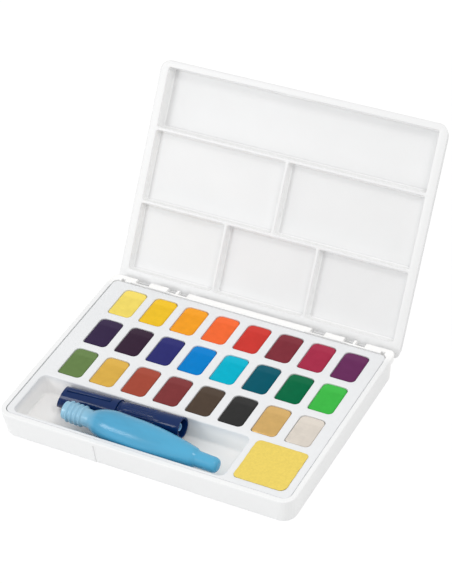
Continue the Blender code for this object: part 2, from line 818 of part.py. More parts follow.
def make_brush():
    """The water brush: a cap over the bristles, and the grip with its open threaded end."""
    start = brush_point(BRUSH_START)
    end = brush_point(BRUSH_START + CAP_LENGTH + GRIP_SHOW)
    navy = material("navy_plastic", BRUSH_NAVY, GLOSS)
    bore = CAP_RADIUS - CAP_WALL
    bore_end = CAP_TIP_CUT + CAP_END_WALL
    cap_profile = [
        (0, bore_end),
        (bore, bore_end),
        (bore, CAP_LENGTH),
        (CAP_RADIUS, CAP_LENGTH),
        (CAP_RADIUS, CAP_LENGTH / 2),
        (CAP_TIP_RADIUS, 0),
        (0, 0),
    ]
    cap = add_object("brush_cap", turned("brush_cap", cap_profile), navy)
    place_along(cap, start, end)
    bar = add_object(
        "cap_bar",
        block(
            "cap_bar",
            around(0, CAP_BAR_WIDTH),
            (CAP_TIP_RADIUS - EMBED, CAP_RADIUS + CAP_BAR_HEIGHT),
            (CAP_BAR_START, CAP_BAR_START + CAP_BAR_LENGTH),
        ),
    )
    place_along(bar, start, end)
    boolean(cap, bar, "UNION")
    reach = CAP_RADIUS + CAP_BAR_HEIGHT + OVERRUN
    wedge_mesh = block("tip_wedge", (-reach, reach), (-reach, reach), (-reach, 0))
    lean = Matrix.Rotation(math.atan2(CAP_TIP_CUT, 2 * CAP_TIP_RADIUS), 4, "X")
    to_edge = Matrix.Translation((0, -CAP_TIP_RADIUS, 0))
    to_middle = Matrix.Translation((0, reach, 0))
    wedge_mesh.transform(to_edge @ lean @ to_middle)
    wedge = add_object("tip_wedge", wedge_mesh)
    place_along(wedge, start, end)
    boolean(cap, wedge, "DIFFERENCE")

    whole = CAP_LENGTH + GRIP_SHOW
    collar = CAP_LENGTH + CLEARANCE
    plug = bore - CLEARANCE
    plug_end = CAP_LENGTH - GRIP_PLUG_LENGTH
    nose_end = plug_end - NOSE_LENGTH
    grip_bore = GRIP_RADIUS - GRIP_WALL
    mouth_floor = whole - GRIP_MOUTH_DEPTH
    grooves = []
    for n in reversed(range(GRIP_GROOVES)):
        middle = collar + (n + 1) * GRIP_GROOVE_PITCH
        grooves += [
            (GRIP_RADIUS, middle + GRIP_GROOVE_PITCH / 4),
            (GRIP_RADIUS - GRIP_GROOVE_DEPTH, middle),
            (GRIP_RADIUS, middle - GRIP_GROOVE_PITCH / 4),
        ]
    grip_profile = [
        (0, mouth_floor),
        (grip_bore, mouth_floor),
        (grip_bore, whole),
        (GRIP_RADIUS, whole),
        *grooves,
        (GRIP_RADIUS, collar),
        (plug, collar),
        (plug, plug_end),
        (NOSE_RADIUS, nose_end),
        (0, nose_end),
    ]
    grip = add_object("brush_grip", turned("brush_grip", grip_profile), navy)
    place_along(grip, start, end)
    feed_low = mouth_floor + CLEARANCE
    feed_profile = [
        (0, feed_low + FEED_WALL),
        (FEED_RADIUS - FEED_WALL, feed_low + FEED_WALL),
        (FEED_RADIUS - FEED_WALL, feed_low + FEED_LENGTH),
        (FEED_RADIUS, feed_low + FEED_LENGTH),
        (FEED_RADIUS, feed_low),
        (0, feed_low),
    ]
    feed = turned("brush_feed", feed_profile, PIN_STEPS)
    feed = add_object("brush_feed", feed, material("feed_tube", FEED_GREY, SATIN))
    place_along(feed, start, end)
    tuft_top = nose_end - CLEARANCE
    tuft_tip = bore_end + TUFT_TIP_GAP
    tuft_profile = [
        (0, tuft_top),
        (TUFT_RADIUS, tuft_top),
        (TUFT_RADIUS, tuft_top + (tuft_tip - tuft_top) * TUFT_SHOULDER_SHARE),
        (0, tuft_tip),
    ]
    tuft = turned("brush_tuft", tuft_profile, PIN_STEPS)
    tuft = add_object("brush_tuft", tuft, material("bristles", TUFT_WHITE, MATT))
    place_along(tuft, start, end)


def tank_outline():
    """The tank's outer (radius, place) points from the tail to the neck."""
    tail = TANK_LENGTH * TANK_TAIL_SHARE
    cone_end = TANK_LENGTH * TANK_CONE_SHARE
    belly_end = TANK_LENGTH * TANK_BELLY_END_SHARE
    belly_start = TANK_LENGTH * TANK_BELLY_START_SHARE
    neck = TANK_LENGTH * TANK_NECK_SHARE
    points = [
        (0, TANK_LENGTH),
        (TANK_TAIL_RADIUS - TANK_END_ROUND, TANK_LENGTH),
        (TANK_TAIL_RADIUS, TANK_LENGTH - TANK_END_ROUND),
    ]
    points.append((TANK_TAIL_RADIUS, tail))
    for n in range(TANK_CURVE_STEPS + 1):
        share = n / TANK_CURVE_STEPS
        swell = math.sin(share * math.pi / 2)
        points.append((mixed(TANK_CONE_RADIUS, TANK_BELLY_RADIUS, swell), mixed(cone_end, belly_end, share)))
    for n in range(TANK_CURVE_STEPS + 1):
        share = n / TANK_CURVE_STEPS
        swell = (1 + math.cos(share * math.pi)) / 2
        points.append((mixed(TANK_NECK_RADIUS, TANK_BELLY_RADIUS, swell), mixed(belly_start, neck, share)))
    return points


def make_tank():
    """The squeeze tank: a thin blown bottle with a threaded neck, open at the neck."""
    outline = tank_outline()
    threads = []
    for n in reversed(range(TANK_THREADS)):
        middle = TANK_THREAD_START + n * TANK_THREAD_PITCH
        threads += [
            (TANK_COLLAR_RADIUS, middle + TANK_THREAD_PITCH / 3),
            (TANK_THREAD_RADIUS, middle),
            (TANK_COLLAR_RADIUS, middle - TANK_THREAD_PITCH / 3),
        ]
    inner_end = TANK_LENGTH - TANK_WALL
    inner = [(0, inner_end), (TANK_TAIL_RADIUS - TANK_WALL, inner_end)]
    inner += [(radius - TANK_WALL, place) for radius, place in outline[3:-2:2]]
    inner += [(TANK_BORE_RADIUS, TANK_LENGTH * TANK_NECK_SHARE), (TANK_BORE_RADIUS, 0)]
    shell = [*outline, *threads, (TANK_COLLAR_RADIUS, 0), *reversed(inner)]
    blue = material("light_blue_plastic", TANK_BLUE, GLOSS)
    tank = add_object("water_tank", turned("water_tank", shell), blue)
    place_along(tank, TANK_START, TANK_END)


def claw_outline():
    """(y, z) points of a claw that clips on: an open ring, its arm up to the lid and its stop heel."""

    def ring(radius, first, last):
        angles = [mixed(first, last, n / CLAW_STEPS) for n in range(CLAW_STEPS + 1)]
        return [(radius * math.cos(angle), radius * math.sin(angle)) for angle in angles]

    def closed(y, z):
        cosine, sine = math.cos(HINGE_OPENING), math.sin(HINGE_OPENING)
        return y * cosine - z * sine, y * sine + z * cosine

    heel_top = LEDGE_UNDERSIDE - CLEARANCE - HINGE_Z
    heel_low = heel_top - HEEL_THICKNESS
    heel_tips = [closed(-HEEL_LENGTH, heel_top), closed(-HEEL_LENGTH, heel_low)]
    heel_roots = []
    for level in (heel_top, heel_low):
        y, z = closed(-math.sqrt(CLAW_RADIUS**2 - level**2), level)
        heel_roots.append(math.atan2(z, y))
    arm_top = LID_RIM + CLAW_ROOT - HINGE_Z
    outline = [(-CLAW_ARM_FRONT, arm_top)]
    outline += ring(CLAW_RADIUS, math.acos(-CLAW_ARM_FRONT / CLAW_RADIUS), CLAW_MOUTH[0])
    outline += ring(CLAW_BORE, *CLAW_MOUTH)
    outline += ring(CLAW_RADIUS, CLAW_MOUTH[1], heel_roots[0])
    outline += heel_tips
    outline += ring(CLAW_RADIUS, heel_roots[1], math.acos(CLAW_ARM_BACK / CLAW_RADIUS))
    outline.append((CLAW_ARM_BACK, arm_top))
    return [(HINGE_Y + y, HINGE_Z + z) for y, z in outline]


def lid_wells():
    """(x, y, depth) of the six wells: one at the front, two behind it, three by the hinge."""
    side = BOX_HALF_WIDTH - LID_SIDE_BORDER
    half_rib = RIB_WIDTH / 2
    inner = MIDDLE_WELL_HALF_WIDTH
    near = (HINGE_Y - FIRST_RIB + half_rib, BOX_BACK - LID_BACK_BORDER)
    middle = (HINGE_Y - SECOND_RIB + half_rib, HINGE_Y - FIRST_RIB - half_rib)
    far = (LID_WELLS_FRONT, HINGE_Y - SECOND_RIB - half_rib)
    return [
        ((-side, side), far, FRONT_WELL_DEPTH),
        ((-side, -half_rib), middle, WELL_DEPTH),
        ((half_rib, side), middle, WELL_DEPTH),
        ((-side, -inner - half_rib), near, WELL_DEPTH),
        ((-inner + half_rib, inner - half_rib), near, WELL_DEPTH),
        ((inner + half_rib, side), near, WELL_DEPTH),
    ]


def make_lid():
    """The lid: a drafted cover whose inside is a palette of six wells, with claws round the hinge bars."""
    hinge = bpy.data.objects.new("lid_hinge_line", None)
    hinge.location = HINGE_POINT
    hinge.rotation_euler.x = -HINGE_OPENING
    PARTS.objects.link(hinge)
    narrow = BOX_HALF_WIDTH - LID_DRAFT
    lid = add_object(
        "lid",
        block(
            "lid",
            (-narrow, narrow),
            (LID_FRONT + LID_DRAFT, BOX_BACK - LID_DRAFT),
            (LID_RIM, LID_TOP),
            corner=LID_CORNER,
            back_corner=BACK_CORNER,
            inset=-LID_DRAFT,
            high_edge=LID_EDGE,
            edge_steps=EDGE_STEPS,
        ),
        material("white_lid_plastic", PLASTIC_WHITE, SATIN),
        hinge,
    )
    cut(
        lid,
        "lid_wells",
        *(
            block(
                "lid_well",
                (x[0] + WELL_DRAFT, x[1] - WELL_DRAFT),
                (y[0] + WELL_DRAFT, y[1] - WELL_DRAFT),
                (LID_RIM - OVERRUN, LID_RIM + depth),
                corner=WELL_CORNER,
                inset=-WELL_DRAFT,
            )
            for x, y, depth in lid_wells()
        ),
    )
    cut(
        lid,
        "lid_finger_recess",
        block(
            "lid_finger_recess",
            (-RECESS_HALF_WIDTH, RECESS_HALF_WIDTH),
            (LID_FRONT - OVERRUN, LID_FRONT + RECESS_DEPTH),
            (LID_RIM + RECESS_BAND, LID_TOP + OVERRUN),
            inset=(0, 0, 0, LID_DRAFT),
        ),
    )
    join(
        lid,
        "lid_catch",
        block(
            "lid_catch",
            (CATCH_START, CATCH_END),
            (LID_WELLS_FRONT - EMBED, LID_WELLS_FRONT + CATCH_REACH),
            (LID_RIM + CATCH_DROP, LID_RIM + CATCH_DROP + CATCH_HEIGHT),
        ),
    )
    outline = claw_outline()
    spans = [(start + CLAW_SIDE_GAP, end - CLAW_SIDE_GAP) for start, end in notch_spans()]
    join(lid, "hinge_claws", *(prism("hinge_claw", outline, span) for span in spans))


make_base_shell()
make_insert_tray()
make_pans_and_paints()
make_sponge()
make_brush()
make_tank()
make_lid()
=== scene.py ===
"""Dresses the watercolour paint box: moulded white plastic, cast paints, sponge, water brush and tank."""

import math

import bmesh
import bpy
import numpy as np
from mathutils import Matrix, Vector


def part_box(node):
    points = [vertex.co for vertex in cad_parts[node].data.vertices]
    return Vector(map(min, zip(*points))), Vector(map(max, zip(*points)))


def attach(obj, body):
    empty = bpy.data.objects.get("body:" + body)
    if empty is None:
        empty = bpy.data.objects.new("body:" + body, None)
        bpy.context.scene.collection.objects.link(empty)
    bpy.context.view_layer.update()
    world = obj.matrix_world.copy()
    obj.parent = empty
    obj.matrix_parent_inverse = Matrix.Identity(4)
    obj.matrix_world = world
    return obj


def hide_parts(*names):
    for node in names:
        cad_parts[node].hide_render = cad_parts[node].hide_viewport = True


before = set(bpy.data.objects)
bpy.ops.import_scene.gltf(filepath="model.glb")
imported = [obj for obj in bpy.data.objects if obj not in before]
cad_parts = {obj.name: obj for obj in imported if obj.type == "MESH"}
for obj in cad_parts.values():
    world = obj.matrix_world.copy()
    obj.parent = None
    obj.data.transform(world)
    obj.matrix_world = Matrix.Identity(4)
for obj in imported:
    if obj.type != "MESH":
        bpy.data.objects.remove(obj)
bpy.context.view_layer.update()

# The lower case: one injection moulding in white polystyrene with a satin skin, drafted so that it leaves
# its mould, with a bare ledge along the back that carries the hinge bars.
# painted light: from the ledge back, over the span LEDGE_Y, the case is painted the paler second white
CASE_WHITE, PAINTED_LIGHT_LEDGE = (0.855, 0.862, 0.870), (0.97, 0.968, 0.965)
LEDGE_Y = (0.050, 0.056)
MOTTLE = 0.012


def moulded_plastic(name, colour, roughness, glow=None, way=(0, 0, 1), span=(0, 1)):
    """Satin moulded plastic: one colour with a faint cloudiness, and a fine grain in the skin.

    Painted light: over a span of one way the colour turns to the paler glow colour, which stands in for light on
    that part.
    """
    made = bpy.data.materials.new(name)
    made.use_nodes = True
    nodes, links = made.node_tree.nodes, made.node_tree.links
    shader = nodes["Principled BSDF"]
    shader.inputs["Roughness"].default_value = roughness
    shader.inputs["IOR"].default_value = 1.5
    place = nodes.new("ShaderNodeTexCoord")
    cloud = nodes.new("ShaderNodeTexNoise")
    cloud.inputs["Scale"].default_value = 35
    cloud.inputs["Detail"].default_value = 2
    tint = nodes.new("ShaderNodeValToRGB")
    tint.color_ramp.elements[0].position = 0.3
    tint.color_ramp.elements[1].position = 0.7
    tint.color_ramp.elements[0].color = (*(c * (1 - MOTTLE) for c in colour), 1)
    tint.color_ramp.elements[1].color = (*(min(1, c * (1 + MOTTLE)) for c in colour), 1)
    skin = nodes.new("ShaderNodeTexNoise")
    skin.inputs["Scale"].default_value = 900
    skin.inputs["Detail"].default_value = 3
    bump = nodes.new("ShaderNodeBump")
    bump.inputs["Strength"].default_value = 0.12
    bump.inputs["Distance"].default_value = 0.00006
    links.new(place.outputs["Object"], cloud.inputs["Vector"])
    links.new(place.outputs["Object"], skin.inputs["Vector"])
    links.new(cloud.outputs["Fac"], tint.inputs["Fac"])
    shade = tint.outputs["Color"]
    if glow:
        distance = nodes.new("ShaderNodeVectorMath")
        distance.operation = "DOT_PRODUCT"
        distance.inputs[1].default_value = way
        reach = nodes.new("ShaderNodeMapRange")
        reach.inputs["From Min"].default_value, reach.inputs["From Max"].default_value = span
        mixed = nodes.new("ShaderNodeMix")
        mixed.data_type = "RGBA"
        mixed.inputs["B"].default_value = (*glow, 1)
        links.new(place.outputs["Object"], distance.inputs[0])
        links.new(distance.outputs["Value"], reach.inputs["Value"])
        links.new(reach.outputs["Result"], mixed.inputs["Factor"])
        links.new(shade, mixed.inputs["A"])
        shade = mixed.outputs["Result"]
    links.new(shade, shader.inputs["Base Color"])
    links.new(skin.outputs["Fac"], bump.inputs["Height"])
    links.new(bump.outputs["Normal"], shader.inputs["Normal"])
    return made


def dress(node, finish):
    """Gives a carried-over solid its finish."""
    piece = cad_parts[node]
    piece.data.materials.clear()
    piece.data.materials.append(finish)


case_plastic = moulded_plastic("satin_white_case_painted_light_ledge", CASE_WHITE, 0.42, PAINTED_LIGHT_LEDGE, (0, 1, 0), LEDGE_Y)
dress("base_shell", case_plastic)

# The pans: thin white cups, all from one mould, held down by the tray above them. Only a sliver of their
# rims shows round the cast paint.
PAN_WHITE = (0.80, 0.80, 0.79)
pan_plastic = moulded_plastic("white_pan_cup", PAN_WHITE, 0.45)
PAINT_NAMES = [name[len("paint_"):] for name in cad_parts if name.startswith("paint_")]
for paint in PAINT_NAMES:
    dress("pan_" + paint, pan_plastic)

# The paints: watercolour poured into its pan in layers and dried to a hard cake. It creeps up the pan's
# sides a little, and its edges are rounded where it shrank away from the cup.
PAINT_TONES = {
    "lemon": (0.830, 0.665, 0.143), "yellow": (0.850, 0.535, 0.035), "orange": (0.885, 0.352, 0.030),
    "vermilion": (0.890, 0.155, 0.047), "red": (0.604, 0.053, 0.044), "crimson": (0.220, 0.040, 0.053),
    "magenta": (0.387, 0.038, 0.078), "purple": (0.144, 0.036, 0.112), "violet": (0.047, 0.031, 0.074),
    "plum": (0.047, 0.027, 0.048), "ultramarine": (0.036, 0.037, 0.168), "azure": (0.003, 0.216, 0.597),
    "turquoise": (0.002, 0.439, 0.597), "teal": (0.003, 0.102, 0.144), "viridian": (0.001, 0.147, 0.063),
    "green": (0.058, 0.474, 0.074), "olive": (0.141, 0.223, 0.080), "ochre": (0.680, 0.418, 0.080),
    "sienna": (0.366, 0.076, 0.050), "burnt_sienna": (0.216, 0.048, 0.050), "umber": (0.087, 0.063, 0.048),
    "black": (0.041, 0.041, 0.041), "gold": (0.637, 0.413, 0.156), "pearl": (0.730, 0.672, 0.604),
}
# how strong each tone is, and what the gum's gloss adds to it
STRENGTHS, PLAIN_STRENGTH, GUM_VEIL, LEAST_TONE = {"gold": 1.12, "lemon": 1.03}, 0.98, 0.010, 0.0003
# metallic and roughness
SHINES, PLAIN_SHINE = {"gold": (0.75, 0.34), "pearl": (0.25, 0.30)}, (0.0, 0.30)
CAKE_GAP, CAKE_TOP, CAKE_RIM, CAKE_ARCH = 0.0001, 0.0145, 0.0007, 0.00022
CREASE_INSET, CREASE_HALF, BACK_SLOPE = 0.0056, 0.0001, 0.0002
FRONT_REACH, FLAT_START, BACK_REACH = 0.0028, 0.0034, 0.0046
# radii of the quarter circles at a cake's front and back, on its left side, its right side and its top
LEFT_PINCH, RIGHT_PINCH, TOP_PINCH = (0.0016, 0.0028), (0.0028, 0.0027), (0.0008, 0.0006)


def cast_paint(name, colour, crease, metallic, roughness):
    """Dried watercolour: pigment that varies a little from place to place, under a thin gum gloss.

    Behind the crease the colour is painted paler: a painted reflection on the back slope of the cake.
    """
    made = bpy.data.materials.new(name)
    made.use_nodes = True
    nodes, links = made.node_tree.nodes, made.node_tree.links
    shader = nodes["Principled BSDF"]
    shader.inputs["Roughness"].default_value = roughness
    shader.inputs["Metallic"].default_value = metallic
    shader.inputs["IOR"].default_value = 1.45
    shader.inputs["Specular IOR Level"].default_value = 0.06
    place = nodes.new("ShaderNodeTexCoord")
    pigment = nodes.new("ShaderNodeTexNoise")
    pigment.inputs["Scale"].default_value = 300
    pigment.inputs["Detail"].default_value = 4
    tint = nodes.new("ShaderNodeValToRGB")
    tint.color_ramp.elements[0].position = 0.3
    tint.color_ramp.elements[1].position = 0.7
    tint.color_ramp.elements[0].color = (*(c * 0.95 for c in colour), 1)
    tint.color_ramp.elements[1].color = (*(min(1, c * 1.04) for c in colour), 1)
    bump = nodes.new("ShaderNodeBump")
    bump.inputs["Strength"].default_value = 0.08
    bump.inputs["Distance"].default_value = 0.0001
    parted = nodes.new("ShaderNodeSeparateXYZ")
    behind = nodes.new("ShaderNodeMapRange")
    behind.inputs["From Min"].default_value = crease - 0.0004
    behind.inputs["From Max"].default_value = crease + 0.0012
    # painted reflection: a paler copy of the colour, mixed in behind the crease
    painted_reflection = nodes.new("ShaderNodeMix")
    painted_reflection.data_type = "RGBA"
    painted_reflection.inputs["B"].default_value = (*(min(1, c * 1.07 + 0.006) for c in colour), 1)
    links.new(place.outputs["Object"], pigment.inputs["Vector"])
    links.new(pigment.outputs["Fac"], tint.inputs["Fac"])
    links.new(place.outputs["Object"], parted.inputs["Vector"])
    links.new(parted.outputs["Y"], behind.inputs["Value"])
    links.new(behind.outputs["Result"], painted_reflection.inputs["Factor"])
    links.new(tint.outputs["Color"], painted_reflection.inputs["A"])
    links.new(painted_reflection.outputs["Result"], shader.inputs["Base Color"])
    links.new(pigment.outputs["Fac"], bump.inputs["Height"])
    links.new(bump.outputs["Normal"], shader.inputs["Normal"])
    return made


def rounded_loop(x, y, radius, z, arc=7, side=6):
    """Points round a rectangle with quarter-circle corners: centre plus radius times (cos, sin), and even sides.

    radius is one number or four, for the corners (right, back), (left, back), (left, front), (right, front).
    """
    radius = np.broadcast_to(np.asarray(radius, float), (4,))
    edge_x = np.array([x[1], x[0], x[0], x[1]])
    edge_y = np.array([y[1], y[1], y[0], y[0]])
    middle = np.stack([edge_x - np.sign(edge_x - sum(x) / 2) * radius,
                       edge_y - np.sign(edge_y - sum(y) / 2) * radius], 1)
    angle = np.arange(4)[:, None] * math.pi / 2 + np.linspace(0, math.pi / 2, arc + 1)
    corners = middle[:, None] + radius[:, None, None] * np.stack([np.cos(angle), np.sin(angle)], 2)
    share = np.linspace(0, 1, side + 1)[1:-1, None]
    start, end = corners[:, -1][:, None], np.roll(corners[:, 0], -1, 0)[:, None]
    flat = np.concatenate([corners, start + (end - start) * share], 1).reshape(-1, 2)
    return np.column_stack([flat, np.full(len(flat), z)])


def to_middle(loop, steps=3):
    """Loops that shrink evenly from a loop to its middle point."""
    share = np.linspace(0, 1, steps + 1)[1:, None, None]
    middle = loop.mean(0)
    return list(loop + (middle - loop) * share)


def surface(name, parts, finish, sharp=40, turn_out=True):
    """One mesh from several grids of points (rows, columns, 3). Each row is a closed loop of points.

    Points that meet are merged and edges past the angle stay sharp. Faces are turned outwards, or keep the way
    their rows run where open grids meet at unequal steps.
    """
    shape = bmesh.new()
    for rows in parts:
        rows = np.asarray(rows, float)
        count, around = rows.shape[:2]
        number = np.arange(count * around).reshape(count, around)
        beside = np.roll(number, -1, 1)
        faces = np.stack([number[:-1], beside[:-1], beside[1:], number[1:]], 2).reshape(-1, 4)
        piece = bpy.data.meshes.new(name)
        piece.from_pydata(rows.reshape(-1, 3), [], faces)
        shape.from_mesh(piece)
        bpy.data.meshes.remove(piece)
    bmesh.ops.remove_doubles(shape, verts=shape.verts, dist=0.000004)
    bmesh.ops.dissolve_degenerate(shape, edges=shape.edges, dist=0.000002)
    if turn_out:
        bmesh.ops.recalc_face_normals(shape, faces=shape.faces)
    mesh = bpy.data.meshes.new(name)
    shape.to_mesh(mesh)
    shape.free()
    mesh.shade_smooth()
    mesh.set_sharp_from_angle(angle=math.radians(sharp))
    mesh.materials.append(finish)
    made = bpy.data.objects.new(name, mesh)
    bpy.context.scene.collection.objects.link(made)
    return made


def stands_for(piece, body, *nodes):
    """The piece moves with its body and is shown in place of the solids."""
    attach(piece, body)
    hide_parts(*nodes)


def pinched(radius, away):
    """How far a quarter circle of this radius draws a side in, at a distance from the end."""
    return radius - np.sqrt(radius ** 2 - np.clip(radius - away, 0, None) ** 2)


def cake_rows(low, high):
    """A cake of paint as slices from front to back, each a loop: base, side, rounded rim, slightly arched top.

    Towards both ends the slices narrow along quarter circles, sink along smaller ones, and behind the crease
    the top slopes down evenly to the back.
    """
    crease, front, back = high.y - CREASE_INSET, low.y + CAKE_GAP, high.y - CAKE_GAP
    ends = np.linspace(0, math.pi / 2, 10)
    y = np.concatenate([
        front + FRONT_REACH * (1 - np.cos(ends)), np.linspace(front + FLAT_START, crease - CREASE_HALF, 7),
        [crease + CREASE_HALF], back - BACK_REACH * (1 - np.cos(ends[::-1])),
    ])
    left = low.x + CAKE_GAP + np.maximum(pinched(LEFT_PINCH[0], y - front), pinched(LEFT_PINCH[1], back - y))
    right = high.x - CAKE_GAP - np.maximum(pinched(RIGHT_PINCH[0], y - front), pinched(RIGHT_PINCH[1], back - y))
    slope = BACK_SLOPE * np.clip((y - crease) / (back - crease), 0, 1)
    top = CAKE_TOP - pinched(TOP_PINCH[0], y - front) - pinched(TOP_PINCH[1], back - y) - slope
    left, right, top = left[:, None], right[:, None], top[:, None]
    turn = np.linspace(0, math.pi / 2, 5)
    inward, down = CAKE_RIM * (1 - np.cos(turn)), CAKE_RIM * (1 - np.sin(turn))
    share = np.linspace(0, 1, 8)[1:-1]
    flat = left + CAKE_RIM + (right - left - 2 * CAKE_RIM) * share
    arch = CAKE_ARCH * (1 - (2 * share - 1) ** 2)
    foot = np.full_like(top, low.z)
    x_rows = np.concatenate([left, left + inward, flat, right - inward[::-1], right], 1)
    z_rows = np.concatenate([foot, top - down, top + arch, top - down[::-1], foot], 1)
    rows = np.stack([x_rows, np.broadcast_to(y[:, None], x_rows.shape), z_rows], 2)
    return [*to_middle(rows[0])[::-1], *rows, *to_middle(rows[-1])]


for paint in PAINT_NAMES:
    strength = STRENGTHS.get(paint, PLAIN_STRENGTH)
    tone = [max(LEAST_TONE, c * strength - GUM_VEIL) for c in PAINT_TONES[paint]]
    low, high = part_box("paint_" + paint)
    finish = cast_paint("cast_" + paint, tone, high.y - CREASE_INSET, *SHINES.get(paint, PLAIN_SHINE))
    cake = surface("cake_" + paint, [cake_rows(low, high)], finish)
    stands_for(cake, "case", "paint_" + paint)

# The insert tray: a thin white plate that drops into the case and holds the pans down. It has an opening
# over each pan and two deep pockets, and every opening has a softly rounded lip.
# painted light: deep in the two pockets, between the POCKET_Z levels, the tray is painted the paler second white
TRAY_WHITE, PAINTED_LIGHT_POCKET = (0.790, 0.803, 0.822), (0.97, 0.962, 0.952)
POCKET_Z = (0.0142, 0.0095)
PLATE = 0.0013
WALL = 0.0012
LIP = 0.00045
COLUMNS, ROWS = 8, 3
PITCH_X, PITCH_Y = 0.0185, 0.02579
FIRST_X, BACK_Y = -0.06343, 0.0402
OPENING_X, OPENING_Y = 0.0137, 0.0212
OPENING_CORNER = np.array([0.0027, 0.0028, 0.0016, 0.0026])
FIELD_X = (FIRST_X - PITCH_X / 2, FIRST_X + (COLUMNS - 0.5) * PITCH_X)
FIELD_Y = (BACK_Y - (ROWS - 0.5) * PITCH_Y, BACK_Y + PITCH_Y / 2)
PLATE_X = (-0.0776, 0.0776)
PLATE_Y = (-0.0571, 0.0536)
BRUSH_POCKET = ((-0.0758, 0.0438), (-0.0562, -0.02615))
SPONGE_POCKET = ((0.0478, 0.0756), (-0.0541, -0.0263))
POCKET_SPLIT = 0.0457
BRUSH_CORNER, BRUSH_LIP, BRUSH_DRAFT, BRUSH_FILLET = 0.0035, 0.0007, 0.0005, 0.0012
SPONGE_CORNERS = np.array([0.0018, 0.0024, 0.0020, 0.0032])
SPONGE_LIP, SPONGE_FILLET = 0.0003, 0.0004
SKIRT_LOW, SKIRT_DRAFT = 0.0121, 0.0001
SKIRT_CORNERS = np.array([0.0030, 0.0030, 0.0039, 0.0039])
# low bars on the floor of the brush pocket, which the brush and the tank lie on
REST_EDGE = 0.0003
RESTS = (
    ((-0.0040, -0.03825, 0.0028), (-0.0020, -0.03125, 0.0068)),
    ((-0.0040, -0.0565, 0.0028), (-0.0020, -0.0380, 0.0044)),
)
tray_low, tray_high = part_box("insert_tray")
TRAY_TOP = tray_high.z


def grown(x, y, by):
    """A rectangle that is wider by this much on every side."""
    return (x[0] - by, x[1] + by), (y[0] - by, y[1] + by)


def lip_rows(x, y, corner, lip, level):
    """A lip: a quarter circle that turns from the level plate down into the opening's wall."""
    rows = []
    for angle in np.linspace(0, math.pi / 2, 5):
        out = lip * (1 - math.sin(angle))
        rows.append(rounded_loop(*grown(x, y, out), corner + out, level - lip * (1 - math.cos(angle))))
    return rows


def window_rows(border_x, border_y, x, y):
    """The plate round one opening: its border, the lip, the wall down and the underside back to the border."""
    rows = [rounded_loop(border_x, border_y, 0, TRAY_TOP)]
    rows += lip_rows(x, y, OPENING_CORNER, LIP, TRAY_TOP)
    rows.append(rounded_loop(x, y, OPENING_CORNER, TRAY_TOP - PLATE))
    rows.append(rounded_loop(border_x, border_y, 0, TRAY_TOP - PLATE))
    return rows


def pocket_rows(border_x, border_y, x, y, corner, lip, floor, draft, fillet):
    """A pocket: lip, drafted wall, a fillet into the floor, and the same from below, a wall's width outside."""
    inside = [rounded_loop(border_x, border_y, 0, TRAY_TOP)]
    inside += lip_rows(x, y, corner, lip, TRAY_TOP)
    for angle in np.linspace(0, math.pi / 2, 6):
        inset = draft + fillet * (1 - math.cos(angle))
        level = floor + fillet * (1 - math.sin(angle))
        inside.append(rounded_loop(*grown(x, y, -inset), corner, level))
    outside = [rounded_loop(border_x, border_y, 0, TRAY_TOP - PLATE)]
    outside.append(rounded_loop(*grown(x, y, WALL), corner + WALL, TRAY_TOP - PLATE))
    outside.append(rounded_loop(*grown(x, y, WALL), corner + WALL, tray_low.z))
    return [inside + to_middle(inside[-1], 4), (outside + to_middle(outside[-1], 4))[::-1]]


def flat_strips(x, y):
    """A level strip of the plate, on its top and on its underside."""
    top, low = (rounded_loop(x, y, 0, level) for level in (TRAY_TOP, TRAY_TOP - PLATE))
    return [[top, *to_middle(top)], [low, *to_middle(low)][::-1]]


tray_parts = []
for row in range(ROWS):
    for column in range(COLUMNS):
        x, y = FIRST_X + column * PITCH_X, BACK_Y - row * PITCH_Y
        tray_parts.append(window_rows(
            (x - PITCH_X / 2, x + PITCH_X / 2), (y - PITCH_Y / 2, y + PITCH_Y / 2),
            (x - OPENING_X / 2, x + OPENING_X / 2), (y - OPENING_Y / 2, y + OPENING_Y / 2),
        ))
tray_parts += flat_strips((PLATE_X[0], FIELD_X[0]), FIELD_Y) + flat_strips((FIELD_X[1], PLATE_X[1]), FIELD_Y)
tray_parts += flat_strips(PLATE_X, (FIELD_Y[1], PLATE_Y[1]))
front_y, floor = (PLATE_Y[0], FIELD_Y[0]), tray_low.z + WALL
tray_parts += pocket_rows((PLATE_X[0], POCKET_SPLIT), front_y, *BRUSH_POCKET,
                          BRUSH_CORNER, BRUSH_LIP, floor, BRUSH_DRAFT, BRUSH_FILLET)
tray_parts += pocket_rows((POCKET_SPLIT, PLATE_X[1]), front_y, *SPONGE_POCKET,
                          SPONGE_CORNERS, SPONGE_LIP, floor, 0, SPONGE_FILLET)
outer = ((tray_low.x, tray_high.x), (tray_low.y, tray_high.y))
skirt = [rounded_loop(PLATE_X, PLATE_Y, 0, TRAY_TOP)]
for angle in np.linspace(0, math.pi / 2, 5):
    inset, level = LIP * (1 - math.sin(angle)), TRAY_TOP - LIP * (1 - math.cos(angle))
    skirt.append(rounded_loop(*grown(*outer, -inset), SKIRT_CORNERS - inset, level))
skirt.append(rounded_loop(*grown(*outer, -SKIRT_DRAFT), SKIRT_CORNERS, SKIRT_LOW))
skirt.append(rounded_loop(*grown(*outer, -WALL), SKIRT_CORNERS - WALL, SKIRT_LOW))
skirt.append(rounded_loop(*grown(*outer, -WALL), SKIRT_CORNERS - WALL, TRAY_TOP - PLATE))
skirt.append(rounded_loop(PLATE_X, PLATE_Y, 0, TRAY_TOP - PLATE))
tray_parts.append(skirt[::-1])
